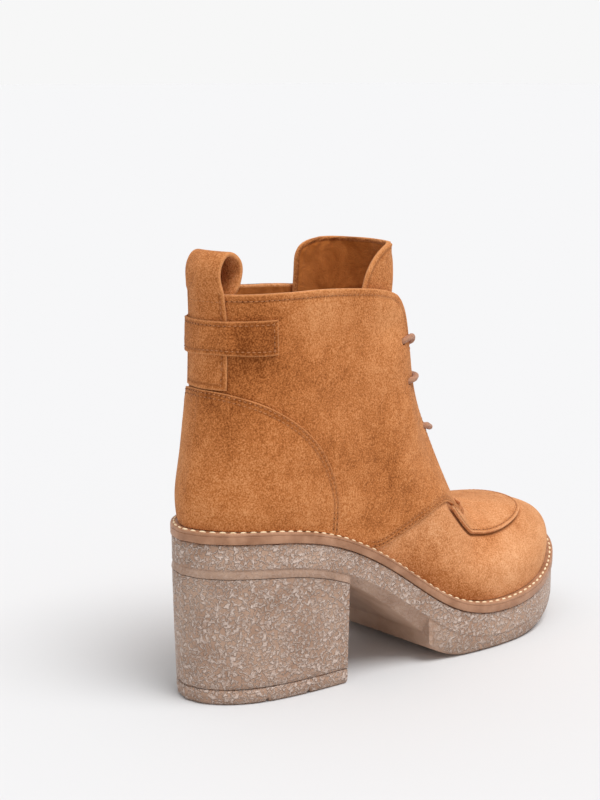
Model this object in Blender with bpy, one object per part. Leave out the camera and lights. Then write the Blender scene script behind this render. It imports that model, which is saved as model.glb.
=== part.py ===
"""Lace up ankle boot with a block heel, right foot.

Toe along +X, medial side along +Y, lateral side along -Y, floor at Z = 0, metres.
Every leather piece follows one function, skin(), which is the outside of the lasted upper.
The sole pieces follow the outline of the welt and the seat line that the last stands on.
"""

import math

import bmesh
import bpy
import numpy as np
from mathutils import Vector

# Driving dimensions
LENGTH = 0.2445
BALL_WIDTH = 0.0930
HEEL_HEIGHT = 0.0815
PLATFORM = 0.0235
TOE_SPRING = 0.0135
SHAFT = 0.1050
RIB_REACH = 0.0400

# Leather
WALL = 0.0016
LAYER = 0.0010
GAP = 0.0003
HEEL_LEDGE = 0.0048
BACK_LEDGE = 0.0018
BACK_LEDGE_END = 0.0300
TOE_LEDGE = 0.0038

# Counter, back strip, heel band and pull loop
COUNTER_ROUND = 0.147
COUNTER_RISE = 0.592
STRIP_WIDTH = 0.0240
BAND_DROP = 0.0115
BAND_WIDTH = 0.0155
BAND_REACH = 0.0350
LOOP_WIDTH = 0.0230
LOOP_THICK = 0.0020
LOOP_TUCK = 0.0110

# Quarter seam and apron
SEAM_ROUND = 0.181
SEAM_SWEEP = 0.125
SEAM_POWER = 0.68
APRON_CLEAR = 0.006

# Tongue and lace
TONGUE_THICK = 0.0022
TONGUE_CLEAR = 0.0010
TONGUE_STAND = 0.0225
LACE_DIAMETER = 0.0028

# Zip on the medial side
ZIP_ROUND = 0.856
ZIP_ROW = 3
ZIP_GAP = 0.0080
ZIP_CHAIN_WIDTH = 0.0044
ZIP_TAPE_THICK = 0.0006
ZIP_CHAIN_THICK = 0.0012
SLIDER_WIDTH = 0.0088
SLIDER_LENGTH = 0.0105
SLIDER_THICK = 0.0018
SLIDER_DROP = 0.0080
BRIDGE_WIDTH = 0.0018
BRIDGE_BAR = 0.0010
EYE_HEIGHT = 0.0024
EYE_LENGTH = 0.0050
PULL_LENGTH = 0.0240
PULL_WIDTH = 0.0060
PULL_THICK = 0.0011
PULL_SIDE = 0.0014

# Sole
WELT_THICK = 0.0053
SOLE_SIDE = 0.0160
BAND_LINE = 0.0115
BAND_STEP = 0.0004
SOLE_INSET = 0.0006
SOLE_EDGE = 0.0016
ARCH_BEVEL = 0.0050
ARCH_EXTRA = 0.0042
INSOLE_TOP = 0.0016
HEEL_BREAST = 0.0700
HEEL_TAPER = 0.0013
LIFT_THICK = 0.0072
LIFT_GROOVE = 0.0005
ARCH_STEP = 0.1180
ROCKER_BACK = 0.0085
FLAT_START = 0.1440
FLAT_END = 0.1800
TOE_LIFT = 0.0190
NOTCH_WIDTH = 0.0026
NOTCH_DEPTH = 0.0020
HEEL_NOTCHES = (0.0260, 0.0480)
SOLE_NOTCH = 0.1500

# Outline of the welt: name, share of length, share of ball width
OUTLINE = (
    ("back", -0.009, 0.000),
    ("back_lateral", 0.034, -0.215),
    ("heel_lateral", 0.150, -0.345),
    ("breast_lateral", 0.290, -0.385),
    ("waist_lateral", 0.430, -0.420),
    ("shank_lateral", 0.550, -0.470),
    ("ball_lateral", 0.665, -0.500),
    ("toe_side_lateral", 0.790, -0.460),
    ("toe_corner_lateral", 0.915, -0.300),
    ("tip_lateral", 0.985, -0.100),
    ("tip", 1.000, 0.060),
    ("toe_corner_medial", 0.950, 0.300),
    ("toe_side_medial", 0.840, 0.450),
    ("ball_medial", 0.715, 0.500),
    ("shank_medial", 0.570, 0.430),
    ("waist_medial", 0.430, 0.350),
    ("breast_medial", 0.290, 0.330),
    ("heel_medial", 0.150, 0.320),
    ("back_medial", 0.034, 0.205),
)

# Seat line, top of the welt: share of length, share of the drop to the ball, share of toe spring
SEAT = (
    (0.00, 1.000, 0.00),
    (0.10, 0.985, 0.00),
    (0.18, 0.945, 0.00),
    (0.26, 0.855, 0.00),
    (0.34, 0.700, 0.00),
    (0.42, 0.485, 0.00),
    (0.49, 0.270, 0.00),
    (0.56, 0.100, 0.00),
    (0.63, 0.020, 0.00),
    (0.71, 0.000, 0.02),
    (0.80, 0.000, 0.14),
    (0.90, 0.000, 0.50),
    (1.00, 0.000, 1.10),
)

# Top line of the upper: name, share round, share of length, share of ball width, share of shaft
TOPLINE = (
    ("collar_back", 0.000, 0.055, 0.000, 1.000),
    ("collar_back_lateral", 0.045, 0.074, -0.160, 1.002),
    ("collar_rear_lateral", 0.085, 0.125, -0.258, 1.004),
    ("collar_side_lateral", 0.125, 0.215, -0.300, 1.005),
    ("collar_front_lateral", 0.165, 0.342, -0.290, 0.988),
    ("corner_lateral", 0.196, 0.445, -0.245, 0.940),
    ("corner_low_lateral", 0.212, 0.484, -0.210, 0.835),
    ("facing_high_lateral", 0.228, 0.501, -0.188, 0.652),
    ("facing_mid_lateral", 0.245, 0.524, -0.170, 0.469),
    ("facing_low_lateral", 0.265, 0.568, -0.156, 0.255),
    ("facing_foot_lateral", 0.297, 0.668, -0.140, -0.140),
    ("throat_corner_lateral", 0.320, 0.692, -0.112, -0.167),
    ("throat_lateral", 0.370, 0.706, -0.070, -0.167),
    ("throat", 0.497, 0.714, 0.010, -0.160),
    ("throat_medial", 0.630, 0.706, 0.085, -0.167),
    ("throat_corner_medial", 0.680, 0.692, 0.127, -0.167),
    ("facing_foot_medial", 0.703, 0.668, 0.155, -0.140),
    ("facing_low_medial", 0.735, 0.568, 0.175, 0.255),
    ("facing_mid_medial", 0.755, 0.524, 0.190, 0.469),
    ("facing_high_medial", 0.772, 0.501, 0.208, 0.652),
    ("corner_low_medial", 0.788, 0.484, 0.232, 0.825),
    ("corner_medial", 0.804, 0.440, 0.270, 0.925),
    ("collar_front_medial", 0.835, 0.340, 0.305, 0.962),
    ("collar_side_medial", 0.875, 0.215, 0.312, 0.978),
    ("collar_rear_medial", 0.915, 0.125, 0.262, 0.990),
    ("collar_back_medial", 0.955, 0.074, 0.160, 0.998),
)

# Ribs from welt to top line: share round, then shares of RIB_REACH for the rise and lean at
# the welt and for the spread and drop at the top line
RIBS = (
    (0.000, 0.50, 0.12, -0.08, 1.60),
    (0.080, 0.50, 0.12, -0.05, 1.50),
    (0.150, 0.70, 0.06, 0.00, 1.20),
    (0.200, 0.80, 0.05, 0.10, 0.80),
    (0.250, 0.70, 0.08, 0.30, 0.60),
    (0.300, 0.60, 0.10, 0.40, 0.30),
    (0.400, 0.52, 0.12, 0.62, 0.10),
    (0.497, 0.55, 0.08, 1.05, 0.12),
    (0.600, 0.52, 0.12, 0.62, 0.10),
    (0.700, 0.60, 0.10, 0.40, 0.30),
    (0.750, 0.70, 0.05, 0.35, 0.60),
    (0.800, 0.80, 0.02, 0.10, 0.80),
    (0.850, 0.70, 0.04, 0.00, 1.20),
    (0.920, 0.50, 0.12, -0.05, 1.50),
)

# Lower edge of the apron: share across, share of the rib
APRON = (
    (0.000, 0.600),
    (0.030, 0.622),
    (0.065, 0.636),
    (0.120, 0.604),
    (0.180, 0.575),
    (0.240, 0.555),
    (0.300, 0.534),
    (0.360, 0.517),
    (0.420, 0.508),
    (0.500, 0.505),
    (0.580, 0.508),
    (0.640, 0.517),
    (0.700, 0.534),
    (0.760, 0.555),
    (0.820, 0.575),
    (0.880, 0.604),
    (0.935, 0.636),
    (0.970, 0.622),
    (1.000, 0.600),
)

# Tongue below the collar: name, facing edge and wing as shares round and shares of the rib,
# crown as a share of the width between the facings
TONGUE = (
    ("facing_foot", 0.298, 1.000, 0.284, 0.940, 0.02),
    ("low", 0.280, 1.000, 0.262, 0.890, 0.02),
    ("bar_low", 0.265, 1.000, 0.240, 0.830, 0.02),
    ("bar_mid", 0.245, 1.000, 0.214, 0.820, 0.02),
    ("bar_high", 0.228, 1.000, 0.194, 0.850, 0.03),
    ("corner_low", 0.210, 0.970, 0.182, 0.920, 0.11),
    ("corner", 0.198, 0.980, 0.170, 0.960, 0.22),
)

# Tongue under the vamp: name, then wing, fold, edge and centre as shares round and of the rib
TONGUE_FOOT = (
    ("foot", (0.318, 0.860), (0.336, 0.870), (0.362, 0.880), (0.497, 0.880)),
    ("lip", (0.298, 0.915), (0.309, 0.950), (0.322, 0.980), (0.497, 0.980)),
)

# Tongue above the collar: share of its stand, lean forward as a share of its stand, then how
# much of the lateral and the medial side is left
TONGUE_TOP = (
    (0.35, 0.03, 0.95, 1.00),
    (0.65, 0.04, 0.82, 0.99),
    (0.83, 0.03, 0.66, 0.92),
    (0.94, 0.01, 0.50, 0.76),
    (1.00, 0.00, 0.30, 0.50),
)

# Pull loop above the collar's back: name, forward of the edge, height over it, and how far
# it keeps the collar's curve
LOOP = (
    ("rise", -0.0024, 0.0060, 0.80),
    ("back", -0.0015, 0.0120, 0.60),
    ("top", 0.0040, 0.0175, 0.45),
    ("front", 0.0098, 0.0135, 0.60),
    ("fall", 0.0092, 0.0060, 0.80),
    ("dip", 0.0056, 0.0000, 1.00),
)

# Lace bars: name, share round and share of the rib of the hole, share round of the facing edge
BARS = (
    ("lace_bar_high", 0.205, 0.850, 0.2230),
    ("lace_bar_mid", 0.218, 0.775, 0.2388),
    ("lace_bar_low", 0.2535, 0.895, 0.2636),
)

# Rows of the upper, the quarters and the zip: share of the rib
ROWS = (0.0, 0.09, 0.19, 0.25, 0.36, 0.48, 0.60, 0.71, 0.81, 0.91, 1.0)

# Finishes: colour, roughness, metallic
FINISHES = {
    "suede": ((0.455, 0.165, 0.050), 0.95, 0.0),
    "suede_light": ((0.560, 0.245, 0.090), 0.95, 0.0),
    "lining": ((0.300, 0.080, 0.016), 0.60, 0.0),
    "welt_rubber": ((0.340, 0.140, 0.060), 0.50, 0.0),
    "crepe": ((0.420, 0.290, 0.220), 0.55, 0.0),
    "insole_leather": ((0.450, 0.260, 0.130), 0.70, 0.0),
    "cord": ((0.420, 0.210, 0.120), 0.85, 0.0),
    "zip_fabric": ((0.020, 0.028, 0.060), 0.80, 0.0),
    "zip_metal": ((0.450, 0.360, 0.220), 0.35, 1.0),
}

# Proportions of the counter's edge, the sole's sides, the laces and the slider
COUNTER_POWER = 2.5
COUNTER_FULLNESS = 0.43
COUNTER_END = 0.985
BEND_START = 0.42
BEND_END = 0.64
TOE_CURVE = 1.8
HEEL_BULGE = 0.35
CORNER_SHARE = 0.3
LACE_ARCH = 1.6
SEAT_TURN = 2.0
PIVOT_SHARE = 0.2
WINDOW_SHARE = 0.9

# Gaps of each layer over the skin, as counts of GAP
COUNTER_GAPS = 2.5
STRIP_GAPS = 2.0
APRON_GAPS = 2.0
OVER_GAPS = 1.5
APRON_END_GAPS = (2.0, 1.0, 1.0, 2.0)

# Counts of samples, rows and columns
SAMPLES = 1200
RIB_SAMPLES = 41
BEND_STATIONS = 7
COUNTER_COLUMNS = 25
STRIP_COLUMNS = 7
BAND_ROWS = 4
BAND_STEPS = 6
TONGUE_COLUMNS = 13
LOOP_COLUMNS = 5
LOOP_ROWS = 16
LACE_ANCHORS = 3
LACE_POINTS = 13
ROW_CLEAR = 0.04
STATION_CLEAR = 0.0040
SOLE_STATIONS = 30
HEEL_STATIONS = 16
TONGUE_ROWS = 12
LACE_SIDES = 7
QUARTER_COLUMNS = 19
VAMP_COLUMNS = 32
ZIP_FRONT_COLUMNS = 12
ZIP_BACK_COLUMNS = 10
CURVE_WEIGHT = 0.030
UP = np.array([0.0, 0.0, 1.0])


# Curves through tables


def spline(knots, rows, places, period=0.0):
    """Smooth curve through the rows of a table; with a period it closes on itself."""
    knots = np.asarray(knots, float)
    rows = np.asarray(rows, float).reshape(len(knots), -1)
    places = np.asarray(places, float)
    if period:
        knots = np.append(knots, knots[0] + period)
        rows = np.vstack([rows, rows[:1]])
        places = knots[0] + np.mod(places - knots[0], period)
    count = len(knots)
    step = np.diff(knots)
    slope = np.diff(rows, axis=0) / step[:, None]
    system = np.eye(count)
    load = np.zeros(rows.shape)
    for k in range(1, count - 1):
        system[k, k - 1:k + 2] = step[k - 1], 2 * (step[k - 1] + step[k]), step[k]
        load[k] = 6 * (slope[k] - slope[k - 1])
    if period:
        system[0, -1] = -1
        system[-1, :] = 0
        system[-1, 0] = 2 * (step[-1] + step[0])
        system[-1, 1] = step[0]
        system[-1, -2] = step[-1]
        load[-1] = 6 * (slope[0] - slope[-1])
    bend = np.linalg.solve(system, load)
    span = np.clip(np.searchsorted(knots, places, side="right") - 1, 0, count - 2)
    ahead = (places - knots[span])[..., None]
    behind = (knots[span + 1] - places)[..., None]
    width = step[span][..., None]
    return (
        bend[span] * behind ** 3 / (6 * width)
        + bend[span + 1] * ahead ** 3 / (6 * width)
        + (rows[span] / width - bend[span] * width / 6) * behind
        + (rows[span + 1] / width - bend[span + 1] * width / 6) * ahead
    )


def glide(knots, rows, places, period=0.0):
    """Curve through the rows of a table that never swings past a row."""
    knots = np.asarray(knots, float)
    rows = np.asarray(rows, float)
    places = np.asarray(places, float)
    if period:
        places = np.mod(places, period)
        knots = np.concatenate([[knots[-1] - period], knots, knots[:2] + period])
        rows = np.vstack([rows[-1:], rows, rows[:2]])
    step = np.diff(knots)[:, None]
    slope = np.diff(rows, axis=0) / step
    one = 2 * step[1:] + step[:-1]
    two = step[1:] + 2 * step[:-1]
    same = slope[:-1] * slope[1:] > 0
    top = np.where(same, (one + two) * slope[:-1] * slope[1:], 0.0)
    low = np.where(same, one * slope[1:] + two * slope[:-1], 1.0)
    tilt = np.vstack([slope[:1], top / low, slope[-1:]])
    span = np.clip(np.searchsorted(knots, places, side="right") - 1, 0, len(knots) - 2)
    width = step[span]
    part = (places - knots[span])[:, None] / width
    return (
        rows[span] * (1 + 2 * part) * (1 - part) ** 2
        + rows[span + 1] * part * part * (3 - 2 * part)
        + tilt[span] * width * part * (1 - part) ** 2
        - tilt[span + 1] * width * part * part * (1 - part)
    )


def ease(value):
    """Smooth step from 0 to 1."""
    value = np.clip(value, 0.0, 1.0)
    return value * value * (3 - 2 * value)


# The welt outline, numbered by its share round from the heel's back, lateral side first


OUTLINE_POINTS = np.array([[row[1] * LENGTH, row[2] * BALL_WIDTH] for row in OUTLINE])
CHORDS = np.linalg.norm(np.roll(OUTLINE_POINTS, -1, axis=0) - OUTLINE_POINTS, axis=1)
OUTLINE_KNOTS = np.concatenate([[0.0], np.cumsum(CHORDS)[:-1]])
OUTLINE_PERIOD = CHORDS.sum()
DENSE_PLACES = np.linspace(0, OUTLINE_PERIOD, SAMPLES + 1)
DENSE_POINTS = spline(OUTLINE_KNOTS, OUTLINE_POINTS, DENSE_PLACES, OUTLINE_PERIOD)
DENSE_STEPS = np.linalg.norm(np.diff(DENSE_POINTS, axis=0), axis=1)
DENSE_ROUND = np.concatenate([[0.0], np.cumsum(DENSE_STEPS)]) / DENSE_STEPS.sum()
TIP_INDEX = int(np.argmax(DENSE_POINTS[:, 0]))
CENTRE = (DENSE_POINTS.max(axis=0) + DENSE_POINTS.min(axis=0)) / 2


def outline(round_share, inset=0.0):
    """Point of the welt outline moved inward by inset, and its outward direction."""
    place = np.interp(np.mod(round_share, 1.0), DENSE_ROUND, DENSE_PLACES)
    reach = OUTLINE_PERIOD / SAMPLES / 4
    point = spline(OUTLINE_KNOTS, OUTLINE_POINTS, place, OUTLINE_PERIOD)
    ahead = spline(OUTLINE_KNOTS, OUTLINE_POINTS, place + reach, OUTLINE_PERIOD)
    behind = spline(OUTLINE_KNOTS, OUTLINE_POINTS, place - reach, OUTLINE_PERIOD)
    run = ahead - behind
    run /= np.linalg.norm(run, axis=-1, keepdims=True)
    outward = np.stack([run[..., 1], -run[..., 0]], -1)
    return point - outward * np.asarray(inset, float)[..., None], outward


def round_at(along, side):
    """Share round of the outline at a distance along the length; side is -1 lateral, 1 medial."""
    if side < 0:
        half = slice(0, TIP_INDEX + 1)
        return np.interp(along, DENSE_POINTS[half, 0], DENSE_ROUND[half])
    half = slice(TIP_INDEX, None)
    return np.interp(along, DENSE_POINTS[half, 0][::-1], DENSE_ROUND[half][::-1])


def seat(along):
    """Height of the welt's top over the floor."""
    share = np.clip(np.asarray(along, float) / LENGTH, 0, 1)
    value = spline([row[0] for row in SEAT], [row[1:] for row in SEAT], share)
    return PLATFORM + (HEEL_HEIGHT - PLATFORM) * value[..., 0] + TOE_SPRING * value[..., 1]


def ledge(along):
    """Width of the welt that shows outside the upper."""
    back = np.clip(1 - along / BACK_LEDGE_END, 0, 1) ** 2
    return HEEL_LEDGE + (TOE_LEDGE - HEEL_LEDGE) * np.clip(along / LENGTH, 0, 1) + BACK_LEDGE * back


# The skin: outside of the lasted upper


def rib(round_share, part):
    """Points of the ribs at the given shares round; part runs from welt to top line."""
    bare, _ = outline(round_share)
    plan, outward = outline(round_share, ledge(bare[:, 0]))
    foot = np.column_stack([plan, seat(plan[:, 0]) + GAP])
    line = glide([row[1] for row in TOPLINE], [row[2:] for row in TOPLINE], round_share, 1.0)
    top = line * [LENGTH, BALL_WIDTH, SHAFT] + [0, 0, HEEL_HEIGHT]
    reach = spline([row[0] for row in RIBS], [row[1:] for row in RIBS], round_share, 1.0) * RIB_REACH
    out = np.column_stack([outward, np.zeros(len(outward))])
    low = foot + UP * reach[:, 0:1] + out * reach[:, 1:2]
    high = top + out * reach[:, 2:3] - UP * reach[:, 3:4]
    part = np.broadcast_to(part, (len(plan), np.shape(part)[-1]))[..., None]
    return (
        (1 - part) ** 3 * foot[:, None]
        + 3 * (1 - part) ** 2 * part * low[:, None]
        + 3 * (1 - part) * part ** 2 * high[:, None]
        + part ** 3 * top[:, None]
    )


def rib_lengths(round_share):
    """Distance from the welt to each sample along the ribs."""
    points = rib(round_share, np.linspace(0, 1, RIB_SAMPLES))
    steps = np.linalg.norm(np.diff(points, axis=1), axis=2)
    return np.column_stack([np.zeros(len(points)), np.cumsum(steps, axis=1)])


def skin(round_share, rise):
    """Points of the skin; rise is the share of the rib's length above the welt."""
    round_share, rise = np.broadcast_arrays(np.asarray(round_share, float), np.asarray(rise, float))
    shape = round_share.shape
    flat = round_share.ravel()
    lengths = rib_lengths(flat)
    samples = np.linspace(0, 1, RIB_SAMPLES)
    part = [np.interp(r * row[-1], row, samples) for r, row in zip(rise.ravel(), lengths)]
    return rib(flat, np.array(part)[:, None])[:, 0].reshape(shape + (3,))


def skin_normal(round_share, rise):
    """Outward direction of the skin, level at the welt so that layers stand on it."""
    round_share, rise = np.broadcast_arrays(np.asarray(round_share, float), np.asarray(rise, float))
    inner = np.clip(rise, 0.002, 0.998)
    across = skin(round_share + 5e-4, inner) - skin(round_share - 5e-4, inner)
    upward = skin(round_share, inner + 0.002) - skin(round_share, inner - 0.002)
    normal = np.cross(across, upward)
    normal /= np.linalg.norm(normal, axis=-1, keepdims=True)
    normal[..., 2] *= ease(rise / 0.10)
    return normal / np.linalg.norm(normal, axis=-1, keepdims=True)


def layer(round_share, rise, offset):
    """Skin moved outward by offset, its foot level with the top of the welt."""
    round_share, rise = np.broadcast_arrays(np.asarray(round_share, float), np.asarray(rise, float))
    points = skin(round_share, rise)
    points = points + skin_normal(round_share, rise) * np.asarray(offset, float)[..., None]
    foot = rise <= 0
    points[foot, 2] = seat(points[foot, 0]) + GAP
    return points


def rib_length(round_share):
    """Length of each rib."""
    flat = np.atleast_1d(np.asarray(round_share, float))
    return rib_lengths(flat.ravel())[:, -1].reshape(np.shape(round_share))


def turn_for(width, round_share, rise):
    """Share round that spans a width on the skin near a place."""
    across = skin(round_share + 5e-4, rise) - skin(round_share - 5e-4, rise)
    return width / (np.linalg.norm(across, axis=-1) / 1e-3)


# Solids


def finish(name):
    """Principled material from the table of finishes."""
    material = bpy.data.materials.get(name)
    if material:
        return material
    colour, roughness, metallic = FINISHES[name]
    material = bpy.data.materials.new(name)
    material.use_nodes = True
    shader = material.node_tree.nodes["Principled BSDF"]
    shader.inputs["Base Color"].default_value = (*colour, 1.0)
    shader.inputs["Roughness"].default_value = roughness
    shader.inputs["Metallic"].default_value = metallic
    return material


def solid(name, points, faces, material, origin=None, facets=False):
    """Object from points and faces, moved so that the sole's outline is centred on the origin."""
    shift = np.array([CENTRE[0], CENTRE[1], 0.0])
    places = np.asarray(points, float).reshape(-1, 3) - shift
    base = np.zeros(3) if origin is None else np.asarray(origin, float) - shift
    mesh = bpy.data.meshes.new(name)
    mesh.from_pydata([tuple(place - base) for place in places], [], faces)
    work = bmesh.new()
    work.from_mesh(mesh)
    bmesh.ops.recalc_face_normals(work, faces=work.faces)
    work.to_mesh(mesh)
    work.free()
    if not facets:
        mesh.shade_smooth()
        mesh.set_sharp_from_angle(angle=math.radians(40))
    mesh.materials.append(finish(material))
    item = bpy.data.objects.new(name, mesh)
    item.location = Vector(base)
    bpy.context.scene.collection.objects.link(item)
    return item


def slab(name, outer, inner, material, ring=False):
    """Closed sheet between two grids of points; a ring closes on itself along its columns."""
    rows, columns = outer.shape[:2]
    points = np.concatenate([outer.reshape(-1, 3), inner.reshape(-1, 3)])
    half = rows * columns
    last = columns if ring else columns - 1
    faces = []
    for row in range(rows - 1):
        for column in range(last):
            a = row * columns + column
            b = row * columns + (column + 1) % columns
            c = b + columns
            d = a + columns
            faces += [(a, b, c), (a, c, d)]
            faces += [(a + half, c + half, b + half), (a + half, d + half, c + half)]
    for column in range(last):
        a = column
        b = (column + 1) % columns
        faces.append((b, a, a + half, b + half))
        c = (rows - 1) * columns + a
        d = (rows - 1) * columns + b
        faces.append((c, d, d + half, c + half))
    if not ring:
        for row in range(rows - 1):
            a = row * columns
            faces.append((a, a + columns, a + columns + half, a + half))
            b = a + columns - 1
            faces.append((b + columns, b, b + half, b + columns + half))
    return solid(name, points, faces, material)


def patch(name, round_grid, rise_grid, low, high, material):
    """Layer of leather on the skin between two offsets."""
    low = np.broadcast_to(low, round_grid.shape)
    high = np.broadcast_to(high, round_grid.shape)
    return slab(
        name,
        layer(round_grid, rise_grid, high),
        layer(round_grid, rise_grid, low),
        material,
    )


def stack(name, rings, material):
    """Solid from rings of points, bottom first; each ring lists one side, then the other back."""
    count = len(rings[0])
    points = np.concatenate(rings)
    faces = []
    for level in range(len(rings) - 1):
        for k in range(count):
            a = level * count + k
            b = level * count + (k + 1) % count
            faces.append((a, b, b + count, a + count))
    for base, flip in ((0, True), ((len(rings) - 1) * count, False)):
        low, high = 1, count - 1
        caps = [(base, base + low, base + high)]
        while low + 1 < high - 1:
            caps.append((base + low, base + low + 1, base + high - 1, base + high))
            low += 1
            high -= 1
        if low + 1 == high - 1:
            caps.append((base + low, base + low + 1, base + high))
        faces.extend(tuple(reversed(cap)) if flip else cap for cap in caps)
    return solid(name, points, faces, material)


def tube(name, path, radius, sides, material):
    """Round bar along a path of points."""
    path = np.asarray(path, float)
    run = np.gradient(path, axis=0)
    run /= np.linalg.norm(run, axis=1, keepdims=True)
    first = np.cross(run, UP)
    first /= np.linalg.norm(first, axis=1, keepdims=True)
    second = np.cross(run, first)
    angles = np.arange(sides) * 2 * math.pi / sides
    circle = (
        first[:, None] * np.cos(angles)[None, :, None]
        + second[:, None] * np.sin(angles)[None, :, None]
    )
    points = path[:, None] + circle * radius
    faces = []
    for k in range(len(path) - 1):
        for side in range(sides):
            a = k * sides + side
            b = k * sides + (side + 1) % sides
            faces.append((a, b, b + sides, a + sides))
    faces.append(tuple(range(sides - 1, -1, -1)))
    faces.append(tuple((len(path) - 1) * sides + side for side in range(sides)))
    return solid(name, points, faces, material)


# Sole


def sole_rounds(front, count, extra):
    """Shares round of the lateral stations and their medial partners, heel first."""
    steps = np.arange(1, count)
    if front >= LENGTH:
        along = LENGTH * (1 - np.cos(math.pi * steps / count)) / 2
    else:
        along = front * (1 - np.cos(math.pi / 2 * np.arange(1, count + 1) / count))
    near = STATION_CLEAR
    keep = [x for x in along if all(abs(x - e) > near for e in extra) and x < front]
    along = np.array(sorted(keep + [e for e in extra if e < front]))
    if front < LENGTH:
        along = np.append(along, front)
    return round_at(along, -1), round_at(along, 1)


def notch_places(centres):
    """Stations at the edges and the middle of each tread notch."""
    return [c + side * NOTCH_WIDTH / 2 for c in centres for side in (-1, 0, 1)]


def sole_ring(lateral, medial, inset, height, tip=True):
    """Ring of points on the outline moved inward, at the heights of a function of the length."""
    rounds = [0.0, *lateral] + ([DENSE_ROUND[TIP_INDEX]] if tip else []) + list(medial[::-1])
    rounds = np.array(rounds)
    bare, _ = outline(rounds)
    reach = inset(bare[:, 0]) if callable(inset) else np.full(len(rounds), inset)
    plan, _ = outline(rounds, reach)
    return np.column_stack([plan, height(plan[:, 0], bare[:, 0])])


def notch_rise(along, centres):
    """Height of the tread notches over the floor."""
    rise = np.zeros(np.shape(along))
    for centre in centres:
        rise = np.maximum(rise, NOTCH_DEPTH * (1 - np.abs(along - centre) / (NOTCH_WIDTH / 2)))
    return np.maximum(rise, 0.0)


def underside(along, station):
    """Bottom of the sole: heel seat, arch, then the forefoot down to the floor."""
    under = seat(along) - WELT_THICK - SOLE_SIDE
    share = np.clip((along - HEEL_BREAST) / (ARCH_STEP - HEEL_BREAST), 0, 1)
    arch = under - ARCH_EXTRA * share
    back = ROCKER_BACK * np.clip((FLAT_START - along) / (FLAT_START - ARCH_STEP), 0, 1) ** 2
    front = TOE_LIFT * np.clip((along - FLAT_END) / (LENGTH - FLAT_END), 0, 1) ** TOE_CURVE
    floor = np.maximum(back + front, notch_rise(station, (SOLE_NOTCH,)))
    return np.where(station <= ARCH_STEP, arch, floor)


def make_sole():
    """Welt, sole unit and insole, which share their stations along the length."""
    bends = np.linspace(BEND_START, BEND_END, BEND_STATIONS) * LENGTH
    extra = [ARCH_STEP, ARCH_STEP + GAP * 4, HEEL_BREAST, *notch_places((SOLE_NOTCH,)), *bends]
    lateral, medial = sole_rounds(LENGTH, SOLE_STATIONS, extra)

    def ring(inset, height):
        return sole_ring(lateral, medial, inset, height)

    def bevel(station):
        rise = ease((station - HEEL_BREAST) / NOTCH_WIDTH)
        fall = 1 - ease((station - ARCH_STEP) / NOTCH_WIDTH)
        fore = ease((station - ARCH_STEP) / NOTCH_WIDTH)
        return SOLE_INSET + ARCH_BEVEL * rise * fall + SOLE_EDGE * fore

    def lower(station):
        return np.where(station <= ARCH_STEP, bevel(station) - SOLE_INSET / 2, SOLE_INSET)

    def lower_height(along, station):
        edge = np.where(station <= ARCH_STEP, SOLE_EDGE / 4, SOLE_EDGE)
        return underside(along, np.where(station > ARCH_STEP, ARCH_STEP + FLAT_START, station)) + edge

    top = WELT_THICK + GAP
    stack("outsole", [
        ring(bevel, underside),
        ring(lower, lower_height),
        ring(SOLE_INSET + BAND_STEP, lambda x, s: seat(x) - top - BAND_LINE - BAND_STEP),
        ring(SOLE_INSET, lambda x, s: seat(x) - top - BAND_LINE),
        ring(SOLE_INSET, lambda x, s: seat(x) - top - BAND_STEP),
        ring(SOLE_INSET + BAND_STEP, lambda x, s: seat(x) - top),
    ], "crepe")

    edge = SOLE_INSET
    def inner_edge(station):
        return ledge(station) + WALL / 2

    outer = [
        ring(inner_edge, lambda x, s: seat(x) - WELT_THICK),
        ring(edge, lambda x, s: seat(x) - WELT_THICK),
        ring(0.0, lambda x, s: seat(x) - WELT_THICK + edge),
        ring(0.0, lambda x, s: seat(x) - edge),
        ring(edge, lambda x, s: seat(x)),
        ring(inner_edge, lambda x, s: seat(x)),
    ]
    count = len(outer[0])
    faces = []
    for level in range(len(outer)):
        after = (level + 1) % len(outer)
        for k in range(count):
            n = (k + 1) % count
            faces.append((level * count + k, level * count + n, after * count + n, after * count + k))
    solid("welt", np.concatenate(outer), faces, "welt_rubber")

    def inside(station):
        return ledge(station) + WALL + 2 * GAP

    stack("insole", [
        ring(inside, lambda x, s: seat(x) - WELT_THICK),
        ring(inside, lambda x, s: seat(x) + INSOLE_TOP),
    ], "insole_leather")


def make_heel():
    """Heel block under the seat and its top lift."""
    lateral, medial = sole_rounds(HEEL_BREAST, HEEL_STATIONS, notch_places(HEEL_NOTCHES))

    def ring(inset, height):
        return sole_ring(lateral, medial, inset, height, tip=False)

    def heel_top(along, station):
        return seat(along) - WELT_THICK - SOLE_SIDE - GAP

    def halfway(along, station):
        return (heel_top(along, station) + LIFT_THICK) / 2

    def lift_corner(along, station):
        return (SOLE_EDGE + notch_rise(station, HEEL_NOTCHES)) * (1 - CORNER_SHARE)

    taper = SOLE_INSET + HEEL_TAPER
    stack("heel_block", [
        ring(taper + LIFT_GROOVE, lambda x, s: np.full(len(x), LIFT_THICK + GAP)),
        ring(taper, lambda x, s: np.full(len(x), LIFT_THICK + GAP + LIFT_GROOVE)),
        ring(SOLE_INSET + HEEL_TAPER * HEEL_BULGE, halfway),
        ring(SOLE_INSET, heel_top),
    ], "crepe")
    stack("top_lift", [
        ring(taper + SOLE_EDGE, lambda x, s: notch_rise(s, HEEL_NOTCHES)),
        ring(taper + SOLE_EDGE * CORNER_SHARE, lift_corner),
        ring(taper, lambda x, s: np.full(len(x), LIFT_THICK / 2)),
        ring(taper, lambda x, s: np.full(len(x), LIFT_THICK - LIFT_GROOVE)),
        ring(taper + LIFT_GROOVE, lambda x, s: np.full(len(x), LIFT_THICK)),
    ], "crepe")


# Upper and its overlays


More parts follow.
